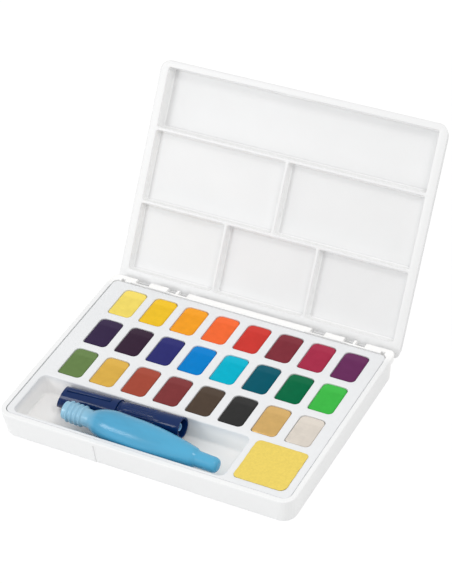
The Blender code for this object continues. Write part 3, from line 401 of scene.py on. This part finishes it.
for low, high in RESTS:
    x, y, z = zip(low, high)
    bar = [rounded_loop(x, y, REST_EDGE, z[0], 3, 2), rounded_loop(x, y, REST_EDGE, z[1] - REST_EDGE, 3, 2)]
    bar.append(rounded_loop(*grown(x, y, -REST_EDGE), 0, z[1], 3, 2))
    tray_parts.append([*to_middle(bar[0])[::-1], *bar, *to_middle(bar[-1])])
tray_plastic = moulded_plastic("satin_white_tray_painted_light_pockets", TRAY_WHITE, 0.40, PAINTED_LIGHT_POCKET, (0, 0, 1), POCKET_Z)
tray = surface("moulded_tray", tray_parts, tray_plastic, turn_out=False)
stands_for(tray, "tray", "insert_tray")

# The sponge: a square of yellow cellulose foam with fine open pores, pushed into its pocket.
SPONGE_YELLOW = (0.815, 0.630, 0.138)
PAD_CORNERS = np.array([0.0020, 0.0026, 0.0022, 0.0034])
PAD_HALF, PAD_WAVE, PAD_SLANT = 0.0138, 0.00008, 1.7
LONG_WAVE, SHORT_WAVE, WAVE_LEAN = 5200, 8900, 3000
# the pad's top edge: how far it spreads, and how far below the top
PAD_EDGE = ((0, 0.00035), (0.00025, 0.00014), (0.00035, 0.00008), (0.00015, 0.00002), (-0.0003, 0))


def foam(name, colour):
    """Open foam: small dark pores between pale cell walls, sunk into the surface.

    The brush's hair takes it too, in its own colour, because it is as rough and as matt.
    """
    made = bpy.data.materials.new(name)
    made.use_nodes = True
    nodes, links = made.node_tree.nodes, made.node_tree.links
    shader = nodes["Principled BSDF"]
    shader.inputs["Roughness"].default_value = 0.95
    shader.inputs["Specular IOR Level"].default_value = 0.1
    place = nodes.new("ShaderNodeTexCoord")
    cells = nodes.new("ShaderNodeTexVoronoi")
    cells.inputs["Scale"].default_value = 2600
    patches = nodes.new("ShaderNodeTexNoise")
    patches.inputs["Scale"].default_value = 900
    patches.inputs["Detail"].default_value = 5
    tint = nodes.new("ShaderNodeValToRGB")
    tint.color_ramp.elements[0].position = 0.30
    tint.color_ramp.elements[1].position = 0.70
    tint.color_ramp.elements[0].color = (*(c * 0.94 for c in colour), 1)
    tint.color_ramp.elements[1].color = (*(min(1, c * 1.04) for c in colour), 1)
    bump = nodes.new("ShaderNodeBump")
    bump.inputs["Strength"].default_value = 0.35
    bump.inputs["Distance"].default_value = 0.0003
    links.new(place.outputs["Object"], cells.inputs["Vector"])
    links.new(place.outputs["Object"], patches.inputs["Vector"])
    links.new(patches.outputs["Fac"], tint.inputs["Fac"])
    links.new(tint.outputs["Color"], shader.inputs["Base Color"])
    links.new(cells.outputs["Distance"], bump.inputs["Height"])
    links.new(bump.outputs["Normal"], shader.inputs["Normal"])
    return made


sponge_low, sponge_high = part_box("sponge")
x, y = (sponge_low.x, sponge_high.x), (sponge_low.y, sponge_high.y)
pad_rows = [rounded_loop(x, y, PAD_CORNERS, sponge_low.z, 9, 14)]
pad_rows = to_middle(pad_rows[0], 6)[::-1] + pad_rows
for out, drop in PAD_EDGE:
    pad_rows.append(rounded_loop(*grown(x, y, out), PAD_CORNERS + out, sponge_high.z - drop, 9, 14))
pad_rows = np.array(pad_rows + to_middle(pad_rows[-1], 14))
# its cut sides are a little uneven: two waves round the pad draw a point in by three times PAD_WAVE at most,
# and where they run the other way they push it out by once PAD_WAVE
along = pad_rows[..., 0] + PAD_SLANT * pad_rows[..., 1]
lean = pad_rows[..., 2] * WAVE_LEAN
uneven = PAD_WAVE * (1 + np.sin(along * LONG_WAVE) + np.sin(along * SHORT_WAVE + lean))
heart = pad_rows[-1, 0]
pad_rows[..., :2] += (heart - pad_rows)[..., :2] / PAD_HALF * uneven[..., None]
pad = surface("foam_pad", [pad_rows], foam("yellow_foam", SPONGE_YELLOW), sharp=180)
stands_for(pad, "sponge_pad", "sponge")

# The cap of the water brush: glossy navy plastic, moulded with a slanted closed end and a raised bar that
# keeps it from rolling. It is a push fit over the plug at the front of the grip.
NAVY = (0.002, 0.020, 0.100)
CAP_LENGTH, CAP_RADIUS, CAP_WALL, CAP_EDGE = 0.0360, 0.0062, 0.0010, 0.00025
TIP_RADIUS, TIP_CUT, TIP_WALL, TIP_REACH = 0.0058, 0.0045, 0.0016, 0.0050
BAR_ENDS, BAR_CORNER = (0.0060, 0.0320), 0.0004
# the bar's steps from foot to top: half its width, its height over the cap's axis, and how much shorter it is
BAR_STEPS = ((0.0011, 0.0061, 0), (0.0011, 0.0066, 0.0001), (0.00095, 0.0069, 0.0003), (0.0006, 0.0071, 0.0006))
BRUSH_START = Vector((-0.0630, -0.03275, 0.009508))
BRUSH_END = Vector((0.0090, -0.03245, 0.013282))


def glossy_plastic(name, colour, roughness, shine=0.5, streaks=0.06, stretch=(1, 1, 1)):
    """Polished plastic: one colour under a hard gloss, with flow marks that may be stretched along an axis."""
    made = bpy.data.materials.new(name)
    made.use_nodes = True
    nodes, links = made.node_tree.nodes, made.node_tree.links
    shader = nodes["Principled BSDF"]
    shader.inputs["Roughness"].default_value = roughness
    shader.inputs["IOR"].default_value = 1.5
    shader.inputs["Specular IOR Level"].default_value = shine
    place = nodes.new("ShaderNodeTexCoord")
    flow = nodes.new("ShaderNodeTexNoise")
    flow.inputs["Scale"].default_value = 160
    flow.inputs["Detail"].default_value = 3
    tint = nodes.new("ShaderNodeValToRGB")
    tint.color_ramp.elements[0].position = 0.3
    tint.color_ramp.elements[1].position = 0.7
    tint.color_ramp.elements[0].color = (*(c * (1 - streaks) for c in colour), 1)
    tint.color_ramp.elements[1].color = (*(min(1, c * (1 + streaks)) for c in colour), 1)
    drawn = nodes.new("ShaderNodeMapping")
    drawn.inputs["Scale"].default_value = stretch
    links.new(place.outputs["Object"], drawn.inputs["Vector"])
    links.new(drawn.outputs["Vector"], flow.inputs["Vector"])
    links.new(flow.outputs["Fac"], tint.inputs["Fac"])
    links.new(tint.outputs["Color"], shader.inputs["Base Color"])
    return made


def laid_along(rows, start, end):
    """Turns points given along +Z so that they run from start to end, with their +Y side up."""
    turn = np.array((end - start).to_track_quat("Z", "Y").to_matrix())
    return np.asarray(rows, float) @ turn.T + np.array(start)


def turned_rows(profile, steps):
    """Circles of the profile's radii at its places: (radius cos a, radius sin a, place)."""
    angle = np.linspace(0, 2 * math.pi, steps, endpoint=False)
    radius, place = np.array(profile, float).T[..., None]
    return np.stack([radius * np.cos(angle), radius * np.sin(angle), np.repeat(place, steps, 1)], 2)


def softened(profile, radius):
    """A profile whose inner corners are rounded by a quadratic curve that starts radius away from each."""
    points = np.array(profile, float)
    made = [points[0]]
    for before, here, after in zip(points[:-2], points[1:-1], points[2:]):
        back, on = before - here, after - here
        reach_back = min(radius, np.linalg.norm(back) / 2.2)
        reach_on = min(radius, np.linalg.norm(on) / 2.2)
        first = here + back / np.linalg.norm(back) * reach_back
        last = here + on / np.linalg.norm(on) * reach_on
        for t in np.linspace(0, 1, 4):
            made.append(first * (1 - t) ** 2 + here * 2 * t * (1 - t) + last * t ** 2)
    made.append(points[-1])
    return np.array(made)


def laid_in_tray(name, parts, finish):
    """A piece of the brush, given along +Z from the cap's tip."""
    return surface(name, [laid_along(rows, BRUSH_START, BRUSH_END) for rows in parts], finish)


bore = CAP_RADIUS - CAP_WALL
cap_rows = turned_rows(softened([
    (0, TIP_CUT + TIP_WALL), (bore, TIP_CUT + TIP_WALL), (bore, CAP_LENGTH), (CAP_RADIUS, CAP_LENGTH),
    (CAP_RADIUS, CAP_LENGTH / 2), (TIP_RADIUS, 0), (0, 0),
], CAP_EDGE), 96)
# the outside of the tip is drawn back to a slanting plane, and less so further from the tip
slant = (TIP_RADIUS + cap_rows[..., 1]) / (2 * TIP_RADIUS) * TIP_CUT
outside = np.arange(len(cap_rows))[:, None] > len(cap_rows) / 2
near_tip = np.clip(1 - cap_rows[..., 2] / TIP_REACH, 0, 1) * outside
cap_rows[..., 2] = cap_rows[..., 2] * (1 - near_tip) + np.maximum(slant, cap_rows[..., 2]) * near_tip
bar_rows = []
for half, height, shorter in BAR_STEPS:
    ends = (BAR_ENDS[0] + shorter, BAR_ENDS[1] - shorter)
    bar_rows.append(rounded_loop((-half, half), ends, BAR_CORNER, height, 3, 3)[:, [0, 2, 1]])
bar_rows = [*to_middle(bar_rows[0])[::-1], *bar_rows, *to_middle(bar_rows[-1])]
navy_plastic = glossy_plastic("navy_gloss", NAVY, 0.10, shine=0.26)
cap = laid_in_tray("navy_cap", [cap_rows, bar_rows], navy_plastic)
stands_for(cap, "capped_brush", "brush_cap")

# The grip of the water brush: a barrel of the same navy plastic with fine flutes along it. The tank's thread
# screws into its open end, and a plug at its front sits in the cap.
GRIP_LENGTH, GRIP_RADIUS, GRIP_WALL, GRIP_EDGE = 0.0360, 0.0055, 0.0010, 0.0002
MOUTH_DEPTH = 0.0100
PLUG_GAP, PLUG_LENGTH, NOSE_RADIUS, NOSE_LENGTH = 0.0003, 0.0090, 0.0026, 0.0160
# the groove behind the cap: its depth, and the places of its two flanks from the cap's end
GROOVE_DEPTH, GROOVE_FRONT, GROOVE_BACK = 0.0004, (0.0007, 0.0010), (0.0016, 0.0020)
FLUTES, FLUTE_DEPTH, FLUTE_FADE = 30, 0.00024, 0.0010
FLUTES_FROM, FLUTES_TO = 0.0022, 0.0130
RING_STEP, AXIS_GUARD = 0.0025, 0.001

whole = CAP_LENGTH + GRIP_LENGTH
mouth_floor, mouth = whole - MOUTH_DEPTH, GRIP_RADIUS - GRIP_WALL
groove, plug = GRIP_RADIUS - GROOVE_DEPTH, bore - PLUG_GAP
profile = softened([
    (0, mouth_floor), (mouth, mouth_floor), (mouth, whole), (GRIP_RADIUS, whole),
    (GRIP_RADIUS, CAP_LENGTH + GROOVE_BACK[1]), (groove, CAP_LENGTH + GROOVE_BACK[0]),
    (groove, CAP_LENGTH + GROOVE_FRONT[1]), (GRIP_RADIUS, CAP_LENGTH + GROOVE_FRONT[0]),
    (GRIP_RADIUS, CAP_LENGTH + PLUG_GAP), (plug, CAP_LENGTH + PLUG_GAP), (plug, CAP_LENGTH - PLUG_LENGTH),
    (NOSE_RADIUS, CAP_LENGTH - NOSE_LENGTH), (0, CAP_LENGTH - NOSE_LENGTH),
], GRIP_EDGE)
fluted = [profile[0]]
for first, last in zip(profile[:-1], profile[1:]):
    steps = max(1, int(abs(last[1] - first[1]) / RING_STEP))
    fluted += [first + (last - first) * n / steps for n in range(1, steps + 1)]
grip_rows = turned_rows(fluted, 192)
# the flutes are a cosine of the angle round the grip, on its outer skin only, and fade out at both ends
angle = np.arctan2(grip_rows[..., 1], grip_rows[..., 0])
radius, place = np.hypot(grip_rows[..., 0], grip_rows[..., 1]), grip_rows[..., 2]
on_skin = np.clip((radius - GRIP_RADIUS + GRIP_EDGE) / GRIP_EDGE, 0, 1)
fade_in = np.clip((place - CAP_LENGTH - FLUTES_FROM) / FLUTE_FADE, 0, 1)
fade_out = np.clip((whole - FLUTES_TO - place) / FLUTE_FADE, 0, 1)
flute = FLUTE_DEPTH * (0.5 + 0.5 * np.cos(angle * FLUTES)) * on_skin * fade_in * fade_out
grip_rows[..., :2] *= (1 - flute / np.maximum(radius, AXIS_GUARD))[..., None]
grip = laid_in_tray("navy_grip", [grip_rows], navy_plastic)
stands_for(grip, "grip", "brush_grip")

# The feed: a small tube of blue plastic, pressed into the floor of the grip's open end. It leads the water
# from the tank to the bristles.
FEED_BLUE = (0.20, 0.42, 0.66)
FEED_RADIUS, FEED_BORE, FEED_LENGTH, FEED_FLOOR, FEED_GAP, FEED_EDGE = 0.0020, 0.0014, 0.0080, 0.0006, 0.0003, 0.0002
feed_low = mouth_floor + FEED_GAP
feed_floor, feed_end = feed_low + FEED_FLOOR, feed_low + FEED_LENGTH
feed_rows = turned_rows(softened([
    (0, feed_floor), (FEED_BORE, feed_floor), (FEED_BORE, feed_end), (FEED_RADIUS, feed_end),
    (FEED_RADIUS, feed_low), (0, feed_low),
], FEED_EDGE), 32)
feed = laid_in_tray("feed_pipe", [feed_rows], glossy_plastic("feed_plastic", FEED_BLUE, 0.25))
stands_for(feed, "grip", "brush_feed")

# The bristles: fine cream synthetic hair, bound into the nose of the grip and drawn to a point. The cap
# covers them while the brush is put away.
HAIR_CREAM = (0.85, 0.82, 0.74)
TUFT_RADIUS, TUFT_LENGTH, TUFT_GAP, TUFT_POWER = 0.0019, 0.011, 0.0003, 2.2
tuft_top = CAP_LENGTH - NOSE_LENGTH - TUFT_GAP
# their outline is a rounded point: the radius times the root of one less a power of the share of the length
share = np.linspace(0, 1, 12)
tuft_profile = np.column_stack([TUFT_RADIUS * np.sqrt(1 - share ** TUFT_POWER), tuft_top - TUFT_LENGTH * share])
tuft_rows = turned_rows([(0, tuft_top), *tuft_profile], 32)
hairs = laid_in_tray("tuft", [tuft_rows], foam("synthetic_hair", HAIR_CREAM))
stands_for(hairs, "grip", "brush_tuft")

# The water tank: a squeeze bottle blown in thin milky blue plastic. Its threaded neck screws into the grip,
# and its tail steps down to a rounded end.
TANK_START = Vector((-0.0509, -0.0456, 0.0150))
TANK_END = Vector((0.0372, -0.0486, 0.0120))
TANK_LENGTH = (TANK_END - TANK_START).length
TANK_BLUE, TAIL_BLUE, NECK_PAINTED_LIGHT_BLUE = (0.058, 0.320, 0.530), (0.075, 0.400, 0.640), (0.42, 0.66, 0.80)
TAIL_X, NECK_X = (-0.020, 0.020), (-0.030, -0.040)
NECK_RADIUS, NECK_BORE, NECK_END, NECK_EDGE = 0.0047, 0.0037, 0.0140, 0.0002
THREADS, THREAD_RADIUS, FIRST_THREAD, THREAD_PITCH = 4, 0.0056, 0.0030, 0.0026
THREAD_FOOT, THREAD_CREST = 0.0009, 0.0002
SHOULDER_RADIUS, BELLY_RADIUS, CONE_RADIUS, TANK_WALL = 0.0046, 0.0085, 0.0053, 0.0009
SHOULDER, CONE = (0.0155, 0.0310), (0.0410, 0.0732)
SWELL_EARLY, SWELL_LATE, CONE_POWER = 1.3, 2.4, 0.9
# the tail: its step as (radius, place), and its rounded tip as (radius, distance from the end)
TAIL_STEP, TAIL_EDGE = ((0.0051, 0.0746), (0.0042, 0.0762), (0.0041, 0.0768)), 0.0006
TAIL_TIP = ((0.0040, 0.0022), (0.0034, 0.0006), (0.0022, 0), (0, 0))
TAIL_BORE, TAIL_BORE_START, BORE_ROUND, TIP_SKIN = 0.0031, 0.0775, 0.0020, 0.0012

neck = [(NECK_BORE, 0), (NECK_RADIUS, 0)]
for n in range(THREADS):
    middle = FIRST_THREAD + n * THREAD_PITCH
    neck += [(NECK_RADIUS, middle - THREAD_FOOT), (THREAD_RADIUS, middle - THREAD_CREST),
             (THREAD_RADIUS, middle + THREAD_CREST), (NECK_RADIUS, middle + THREAD_FOOT)]
neck.append((NECK_RADIUS, NECK_END))
# the shoulder swells by a power curve, and the long cone narrows by a power of a quarter of a cosine
share = np.linspace(0, 1, 18)
early = share ** SWELL_EARLY
swell, place = 1 - (1 - early) ** SWELL_LATE, SHOULDER[0] + (SHOULDER[1] - SHOULDER[0]) * early
shoulder = np.column_stack([SHOULDER_RADIUS + (BELLY_RADIUS - SHOULDER_RADIUS) * swell, place])
narrow, place = np.cos(share * math.pi / 2) ** CONE_POWER, CONE[0] + (CONE[1] - CONE[0]) * share
cone = np.column_stack([CONE_RADIUS + (BELLY_RADIUS - CONE_RADIUS) * narrow, place])
tail = [*TAIL_STEP, *((radius, TANK_LENGTH - short) for radius, short in TAIL_TIP)]
outside = np.concatenate([softened(neck, NECK_EDGE), shoulder, cone, softened(tail, TAIL_EDGE)])
inside = np.concatenate([
    [(NECK_BORE, 0), (NECK_BORE, SHOULDER[0])], (shoulder - (TANK_WALL, 0))[2:], cone - (TANK_WALL, 0),
    [(TAIL_BORE, TAIL_BORE_START), (TAIL_BORE, TANK_LENGTH - BORE_ROUND), (0, TANK_LENGTH - TIP_SKIN)],
])
tank_rows = turned_rows(np.concatenate([inside[::-1], outside[1:]]), 64)
milky = glossy_plastic("milky_blue", TANK_BLUE, 0.22, streaks=0.16, stretch=(0.2, 0.8, 0.8))
# the narrow tail is painted a lighter blue than the belly, and the small neck is painted paler: painted light
# passing through it
nodes, links = milky.node_tree.nodes, milky.node_tree.links
shader, shade = nodes["Principled BSDF"], nodes["Color Ramp"].outputs["Color"]
place, parted = nodes.new("ShaderNodeTexCoord"), nodes.new("ShaderNodeSeparateXYZ")
links.new(place.outputs["Object"], parted.inputs["Vector"])
for span, most, tone in ((TAIL_X, 0.8, TAIL_BLUE), (NECK_X, 0.6, NECK_PAINTED_LIGHT_BLUE)):
    reach = nodes.new("ShaderNodeMapRange")
    reach.inputs["From Min"].default_value, reach.inputs["From Max"].default_value = span
    reach.inputs["To Max"].default_value = most
    mixed = nodes.new("ShaderNodeMix")
    mixed.data_type = "RGBA"
    mixed.inputs["B"].default_value = (*tone, 1)
    links.new(parted.outputs["X"], reach.inputs["Value"])
    links.new(reach.outputs["Result"], mixed.inputs["Factor"])
    links.new(shade, mixed.inputs["A"])
    shade = mixed.outputs["Result"]
links.new(shade, shader.inputs["Base Color"])
shader.inputs["Sheen Weight"].default_value = 0.12
shader.inputs["Sheen Roughness"].default_value = 0.35
tank = surface("squeeze_tank", [laid_along(tank_rows, TANK_START, TANK_END)], milky, sharp=60)
stands_for(tank, "tank", "water_tank")

# The lid: one white moulding whose inside is a mixing palette. Thin ribs, level with its broad flat border,
# part six wells with filleted floors, and claws along its near side clip round the case's hinge bars.
HINGE = np.array([0, 0.0590, 0.0110])
LEAN = math.radians(124 - 90)
RIM_LEVEL = 0.0042
LID_X, LID_U = (-0.0828, 0.0828), (-0.0010, 0.1212)
LID_DEEP = 0.0087
RIB_1, RIB_2, DIVIDER, HALF_RIB = 0.0443, 0.0843, 0.0269, 0.0008
WELL_X, WELL_U = (-0.0780, 0.0780), (0.0070, 0.1176)
PALETTE_X, PALETTE_U = (-0.0800, 0.0800), (0.0040, 0.1195)
WELL_LIP, WELL_DRAFT, WELL_FILLET, WELL_CORNER, FLOOR_CORNER = 0.0003, 0.0004, 0.0012, 0.0012, 0.0014
NEAR_DEPTH, FAR_DEPTH = 0.0046, 0.0073
LID_CORNERS, LEAST_CORNER = np.array([0.0056, 0.0056, 0.0030, 0.0030]), 0.0002
EDGE_ROUND, SIDE_DRAFT, BACK_ROUND = 0.0005, 0.0014, 0.0028
SIDE_LEVELS = (0.0023, 0.0025, 0.0045)
# the finger recess in the far side: half its width, how its ends slope, its depth and where it starts
RECESS_HALF, RECESS_SLOPE, RECESS_DEPTH, RECESS_LEVEL, RECESS_U = 0.0274, 0.0012, 0.0007, 0.0024, 0.110
RIDGE = ((-0.0140, 0.1170, -0.0016), (0.0090, 0.1180, -0.0006))
CLIPS_X = (-0.0707, 0.0328)
CLAWS = ((0.0030, 0.0102), (0.0219, 0.0264), (0.0287, 0.0332))
CLAW_RADII = np.array([0.0013, 0.0013, 0.0015, 0.0020, 0.0022, 0.0022, 0.0020, 0.0015])
CLAW_ARC, CLAW_STEPS, CLAW_EDGE = (math.radians(-70), math.radians(200)), 25, 0.0002
STEM_U, STEM_FROM, STEM_TO = (-0.0008, 0.0004), -0.0024, RIM_LEVEL - 0.0016
HEEL_Y, HEEL_Z = (0.0554, 0.0573), (0.0090, 0.0100)
BLOCK_BEVEL = 0.0002
LID_WHITE, PAINTED_LIGHT_WALL, PAINTED_LIGHT_RIM = (0.764, 0.768, 0.775), (0.905, 0.908, 0.912), (0.795, 0.799, 0.806)
# painted light: the rim plane is painted a paler white, which fades in between these depths below it
RIM_GLOW = (0.0012, 0.0001)
# a face is painted as a paler, lit wall where its normal leans into the lid by less than this, where it lies deeper
# than this below the rim plane, and where it is inside the wells or this close to them
WALL_SLANT, WALL_BELOW, WALL_MARGIN = 0.8, 0.0002, 0.0005
INTO_LID = np.array([0, math.cos(LEAN), -math.sin(LEAN)])
ALONG_LID = np.array([0, math.sin(LEAN), math.cos(LEAN)])


def opened(rows):
    """Lid points (across, away from the hinge, out of the rim plane) at their place with the lid open."""
    across, away, out = np.moveaxis(np.asarray(rows, float)[..., None, :], -1, 0)
    return HINGE + across * (1, 0, 0) + away * ALONG_LID + (RIM_LEVEL - out) * INTO_LID


def well_rows(border_x, border_u, x, u, deep):
    """One well: its share of the border, the lip, the drafted wall, the fillet and the floor."""
    rows = [rounded_loop(border_x, border_u, 0, 0), *lip_rows(x, u, WELL_CORNER, WELL_LIP, 0)]
    for angle in np.linspace(0, math.pi / 2, 7):
        inset = WELL_DRAFT + WELL_FILLET * (1 - math.cos(angle))
        level = -deep + WELL_FILLET * (1 - math.sin(angle))
        rows.append(rounded_loop(*grown(x, u, -inset), FLOOR_CORNER, level))
    return rows + to_middle(rows[-1], 4)


lid_parts = []
bands = (
    ((PALETTE_U[0], RIB_1), (WELL_U[0], RIB_1 - HALF_RIB), (-DIVIDER, DIVIDER), NEAR_DEPTH),
    ((RIB_1, RIB_2), (RIB_1 + HALF_RIB, RIB_2 - HALF_RIB), (0,), NEAR_DEPTH),
    ((RIB_2, PALETTE_U[1]), (RIB_2 + HALF_RIB, WELL_U[1]), (), FAR_DEPTH),
)
for border_u, u, splits, deep in bands:
    borders = [PALETTE_X[0], *splits, PALETTE_X[1]]
    starts = [WELL_X[0], *(split + HALF_RIB for split in splits)]
    ends = [*(split - HALF_RIB for split in splits), WELL_X[1]]
    for n, (start, end) in enumerate(zip(starts, ends)):
        lid_parts.append(opened(well_rows((borders[n], borders[n + 1]), border_u, (start, end), u, deep)))


def cover_row(inset, corner, level):
    """One loop round the lid's outside, with enough points along its far side for the recess."""
    return rounded_loop(*grown(LID_X, LID_U, -inset), corner, level, 7, 100)


cover = [rounded_loop(PALETTE_X, PALETTE_U, 0, 0, 7, 100)]
for angle in np.linspace(0, math.pi / 2, 5):
    inset = EDGE_ROUND * (1 - math.sin(angle))
    cover.append(cover_row(inset, LID_CORNERS - inset, -EDGE_ROUND * (1 - math.cos(angle))))
for level in SIDE_LEVELS:
    inset = SIDE_DRAFT * (level - EDGE_ROUND) / (LID_DEEP - BACK_ROUND - EDGE_ROUND)
    cover.append(cover_row(inset, LID_CORNERS, -level))
for angle in np.linspace(0, math.pi / 2, 7):
    round_in, level = BACK_ROUND * (1 - math.cos(angle)), -LID_DEEP + BACK_ROUND * (1 - math.sin(angle))
    cover.append(cover_row(SIDE_DRAFT + round_in, np.maximum(LID_CORNERS - round_in, LEAST_CORNER), level))
cover = np.array(cover)
sunk = np.clip((RECESS_HALF - np.abs(cover[..., 0])) / RECESS_SLOPE, 0, 1)
sunk *= (cover[..., 1] > RECESS_U) & (cover[..., 2] < -RECESS_LEVEL)
cover[..., 1] -= RECESS_DEPTH * sunk
lid_parts.append(opened([*cover, *to_middle(cover[-1], 4)][::-1]))


def block_rows(low, high):
    """A small block with bevelled upright edges and rims."""
    x, y, z = zip(low, high)
    small, edge = grown(x, y, -BLOCK_BEVEL), BLOCK_BEVEL
    rows = [rounded_loop(*small, edge, z[0], 2, 2), rounded_loop(x, y, edge, z[0] + edge, 2, 2),
            rounded_loop(x, y, edge, z[1] - edge, 2, 2), rounded_loop(*small, edge, z[1], 2, 2)]
    return np.array([*to_middle(rows[0])[::-1], *rows, *to_middle(rows[-1])])


lid_parts.append(opened(block_rows(*RIDGE)))
# each claw is a hook bent round the bar: eight-sided slices at even angles, with a stem and a heel
turn = np.linspace(*CLAW_ARC, CLAW_STEPS)[:, None]
for clip_x in CLIPS_X:
    for first, last in CLAWS:
        left, right = clip_x + first, clip_x + last
        across = np.array([left, right, right, right, right - CLAW_EDGE, left + CLAW_EDGE, left, left])
        hook = np.stack([np.broadcast_to(across, (CLAW_STEPS, 8)), -CLAW_RADII * np.cos(turn),
                         RIM_LEVEL - CLAW_RADII * np.sin(turn)], 2)
        lid_parts.append(opened([*to_middle(hook[0])[::-1], *hook, *to_middle(hook[-1])]))
        lid_parts.append(opened(block_rows((left, STEM_U[0], STEM_FROM), (right, STEM_U[1], STEM_TO))))
        lid_parts.append(block_rows((left, HEEL_Y[0], HEEL_Z[0]), (right, HEEL_Y[1], HEEL_Z[1])))
rim_distance = float(HINGE @ INTO_LID) + RIM_LEVEL
lid_plastic = moulded_plastic("satin_white_lid_painted_light_rim", LID_WHITE, 0.36, PAINTED_LIGHT_RIM, tuple(INTO_LID),
                              tuple(rim_distance + depth for depth in RIM_GLOW))
palette = surface("palette_lid", lid_parts, lid_plastic, turn_out=False)
# painted light: the upright walls of the wells are painted paler than their floors
palette.data.materials.append(moulded_plastic("satin_white_painted_light_walls", PAINTED_LIGHT_WALL, 0.36))
faces = palette.data.polygons
facing, middles = np.empty(len(faces) * 3, np.float32), np.empty(len(faces) * 3, np.float32)
faces.foreach_get("normal", facing)
faces.foreach_get("center", middles)
facing, middles = facing.reshape(-1, 3), middles.reshape(-1, 3) - HINGE
away, depth = middles @ ALONG_LID, middles @ INTO_LID - RIM_LEVEL
painted_light_walls = (np.abs(facing @ INTO_LID) < WALL_SLANT) & (depth > WALL_BELOW)
painted_light_walls &= np.abs(middles[:, 0]) < WELL_X[1] + WALL_MARGIN
painted_light_walls &= (away > WELL_U[0] - WALL_MARGIN) & (away < WELL_U[1] + WALL_MARGIN)
faces.foreach_set("material_index", painted_light_walls.astype(np.int32))
stands_for(palette, "cover", "lid")

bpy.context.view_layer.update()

# The table top: a plain pale sheet that shows white to the camera and keeps the box's soft shadow.
SHEET_HALF, SHEET_GREY, GLOW_STRENGTH, GLOW_SHARE = 3, 0.82, 1.05, 0.92
sheet_mesh = bpy.data.meshes.new("table_top")
reach = SHEET_HALF
sheet_mesh.from_pydata([(-reach, -reach, 0), (reach, -reach, 0), (reach, reach, 0), (-reach, reach, 0)],
                       [], [(0, 1, 2, 3)])
sheet = bpy.data.objects.new("table_top", sheet_mesh)
bpy.context.scene.collection.objects.link(sheet)
paper = bpy.data.materials.new("white_paper")
paper.use_nodes = True
nodes, links = paper.node_tree.nodes, paper.node_tree.links
shader = nodes["Principled BSDF"]
shader.inputs["Base Color"].default_value = (SHEET_GREY, SHEET_GREY, SHEET_GREY, 1)
shader.inputs["Roughness"].default_value = 0.9
shader.inputs["Specular IOR Level"].default_value = 0
seen = nodes.new("ShaderNodeLightPath")
glow = nodes.new("ShaderNodeEmission")
glow.inputs["Color"].default_value = (1, 1, 1, 1)
glow.inputs["Strength"].default_value = GLOW_STRENGTH
either = nodes.new("ShaderNodeMath")
either.operation = "MAXIMUM"
scaled = nodes.new("ShaderNodeMath")
scaled.operation = "MULTIPLY"
scaled.inputs[1].default_value = GLOW_SHARE
blend = nodes.new("ShaderNodeMixShader")
links.new(seen.outputs["Is Camera Ray"], either.inputs[0])
links.new(seen.outputs["Is Glossy Ray"], either.inputs[1])
links.new(either.outputs["Value"], scaled.inputs[0])
links.new(scaled.outputs["Value"], blend.inputs["Fac"])
links.new(shader.outputs["BSDF"], blend.inputs[1])
links.new(glow.outputs["Emission"], blend.inputs[2])
links.new(blend.outputs["Shader"], nodes["Material Output"].inputs["Surface"])
sheet_mesh.materials.append(paper)

# The light: a pale room, a small soft lamp over the box's right side and a broader one in front of it.
ROOM_COLOUR, ROOM_STRENGTH, LAMPS_AIM = (1.0, 0.995, 0.985, 1), 0.86, (0, 0, 0.03)
room = bpy.data.worlds.new("pale_room")
bpy.context.scene.world = room
room.use_nodes = True
sky = room.node_tree.nodes["Background"]
sky.inputs["Color"].default_value = ROOM_COLOUR
sky.inputs["Strength"].default_value = ROOM_STRENGTH


def soft_lamp(name, where, width, power, colour):
    """A square soft lamp that faces the box."""
    lamp = bpy.data.lights.new(name, "AREA")
    lamp.shape = "SQUARE"
    lamp.size = width
    lamp.energy = power
    lamp.color = colour
    made = bpy.data.objects.new(name, lamp)
    made.location = where
    made.rotation_mode = "QUATERNION"
    made.rotation_quaternion = (Vector(LAMPS_AIM) - Vector(where)).to_track_quat("-Z", "Y")
    bpy.context.scene.collection.objects.link(made)


soft_lamp("over_the_box", (0.45, -0.10, 0.82), 0.22, 1.2, (1.0, 0.99, 0.97))
soft_lamp("in_front", (-0.55, -0.70, 0.50), 0.35, 2.2, (0.98, 0.99, 1.0))

# The camera stands where the photographer stood, in front of the box and to its right.
AZIMUTH, ELEVATION, ROLL = 30.7307, 39.1093, -5.0076
AIM, DISTANCE, FOCAL_LENGTH, SENSOR_WIDTH = Vector((-0.01972, 0.06873, 0.01472)), 1.1892, 178.92, 36
azimuth, elevation, roll = (math.radians(angle) for angle in (AZIMUTH, ELEVATION, ROLL))
back = Vector((math.sin(azimuth) * math.cos(elevation), -math.cos(azimuth) * math.cos(elevation),
               math.sin(elevation)))
level = Vector((math.cos(azimuth), math.sin(azimuth), 0))
upright = back.cross(level)
right = level * math.cos(roll) + upright * math.sin(roll)
up = upright * math.cos(roll) - level * math.sin(roll)
eye = AIM + back * DISTANCE
lens = bpy.data.cameras.new("camera")
lens.sensor_fit = "HORIZONTAL"
lens.sensor_width = SENSOR_WIDTH
lens.lens = FOCAL_LENGTH
lens.clip_start = 0.01
camera = bpy.data.objects.new("camera", lens)
camera.matrix_world = Matrix((
    (right.x, up.x, back.x, eye.x), (right.y, up.y, back.y, eye.y), (right.z, up.z, back.z, eye.z), (0, 0, 0, 1),
))
bpy.context.scene.collection.objects.link(camera)
bpy.context.scene.camera = camera
bpy.context.scene.view_settings.view_transform = "Standard"
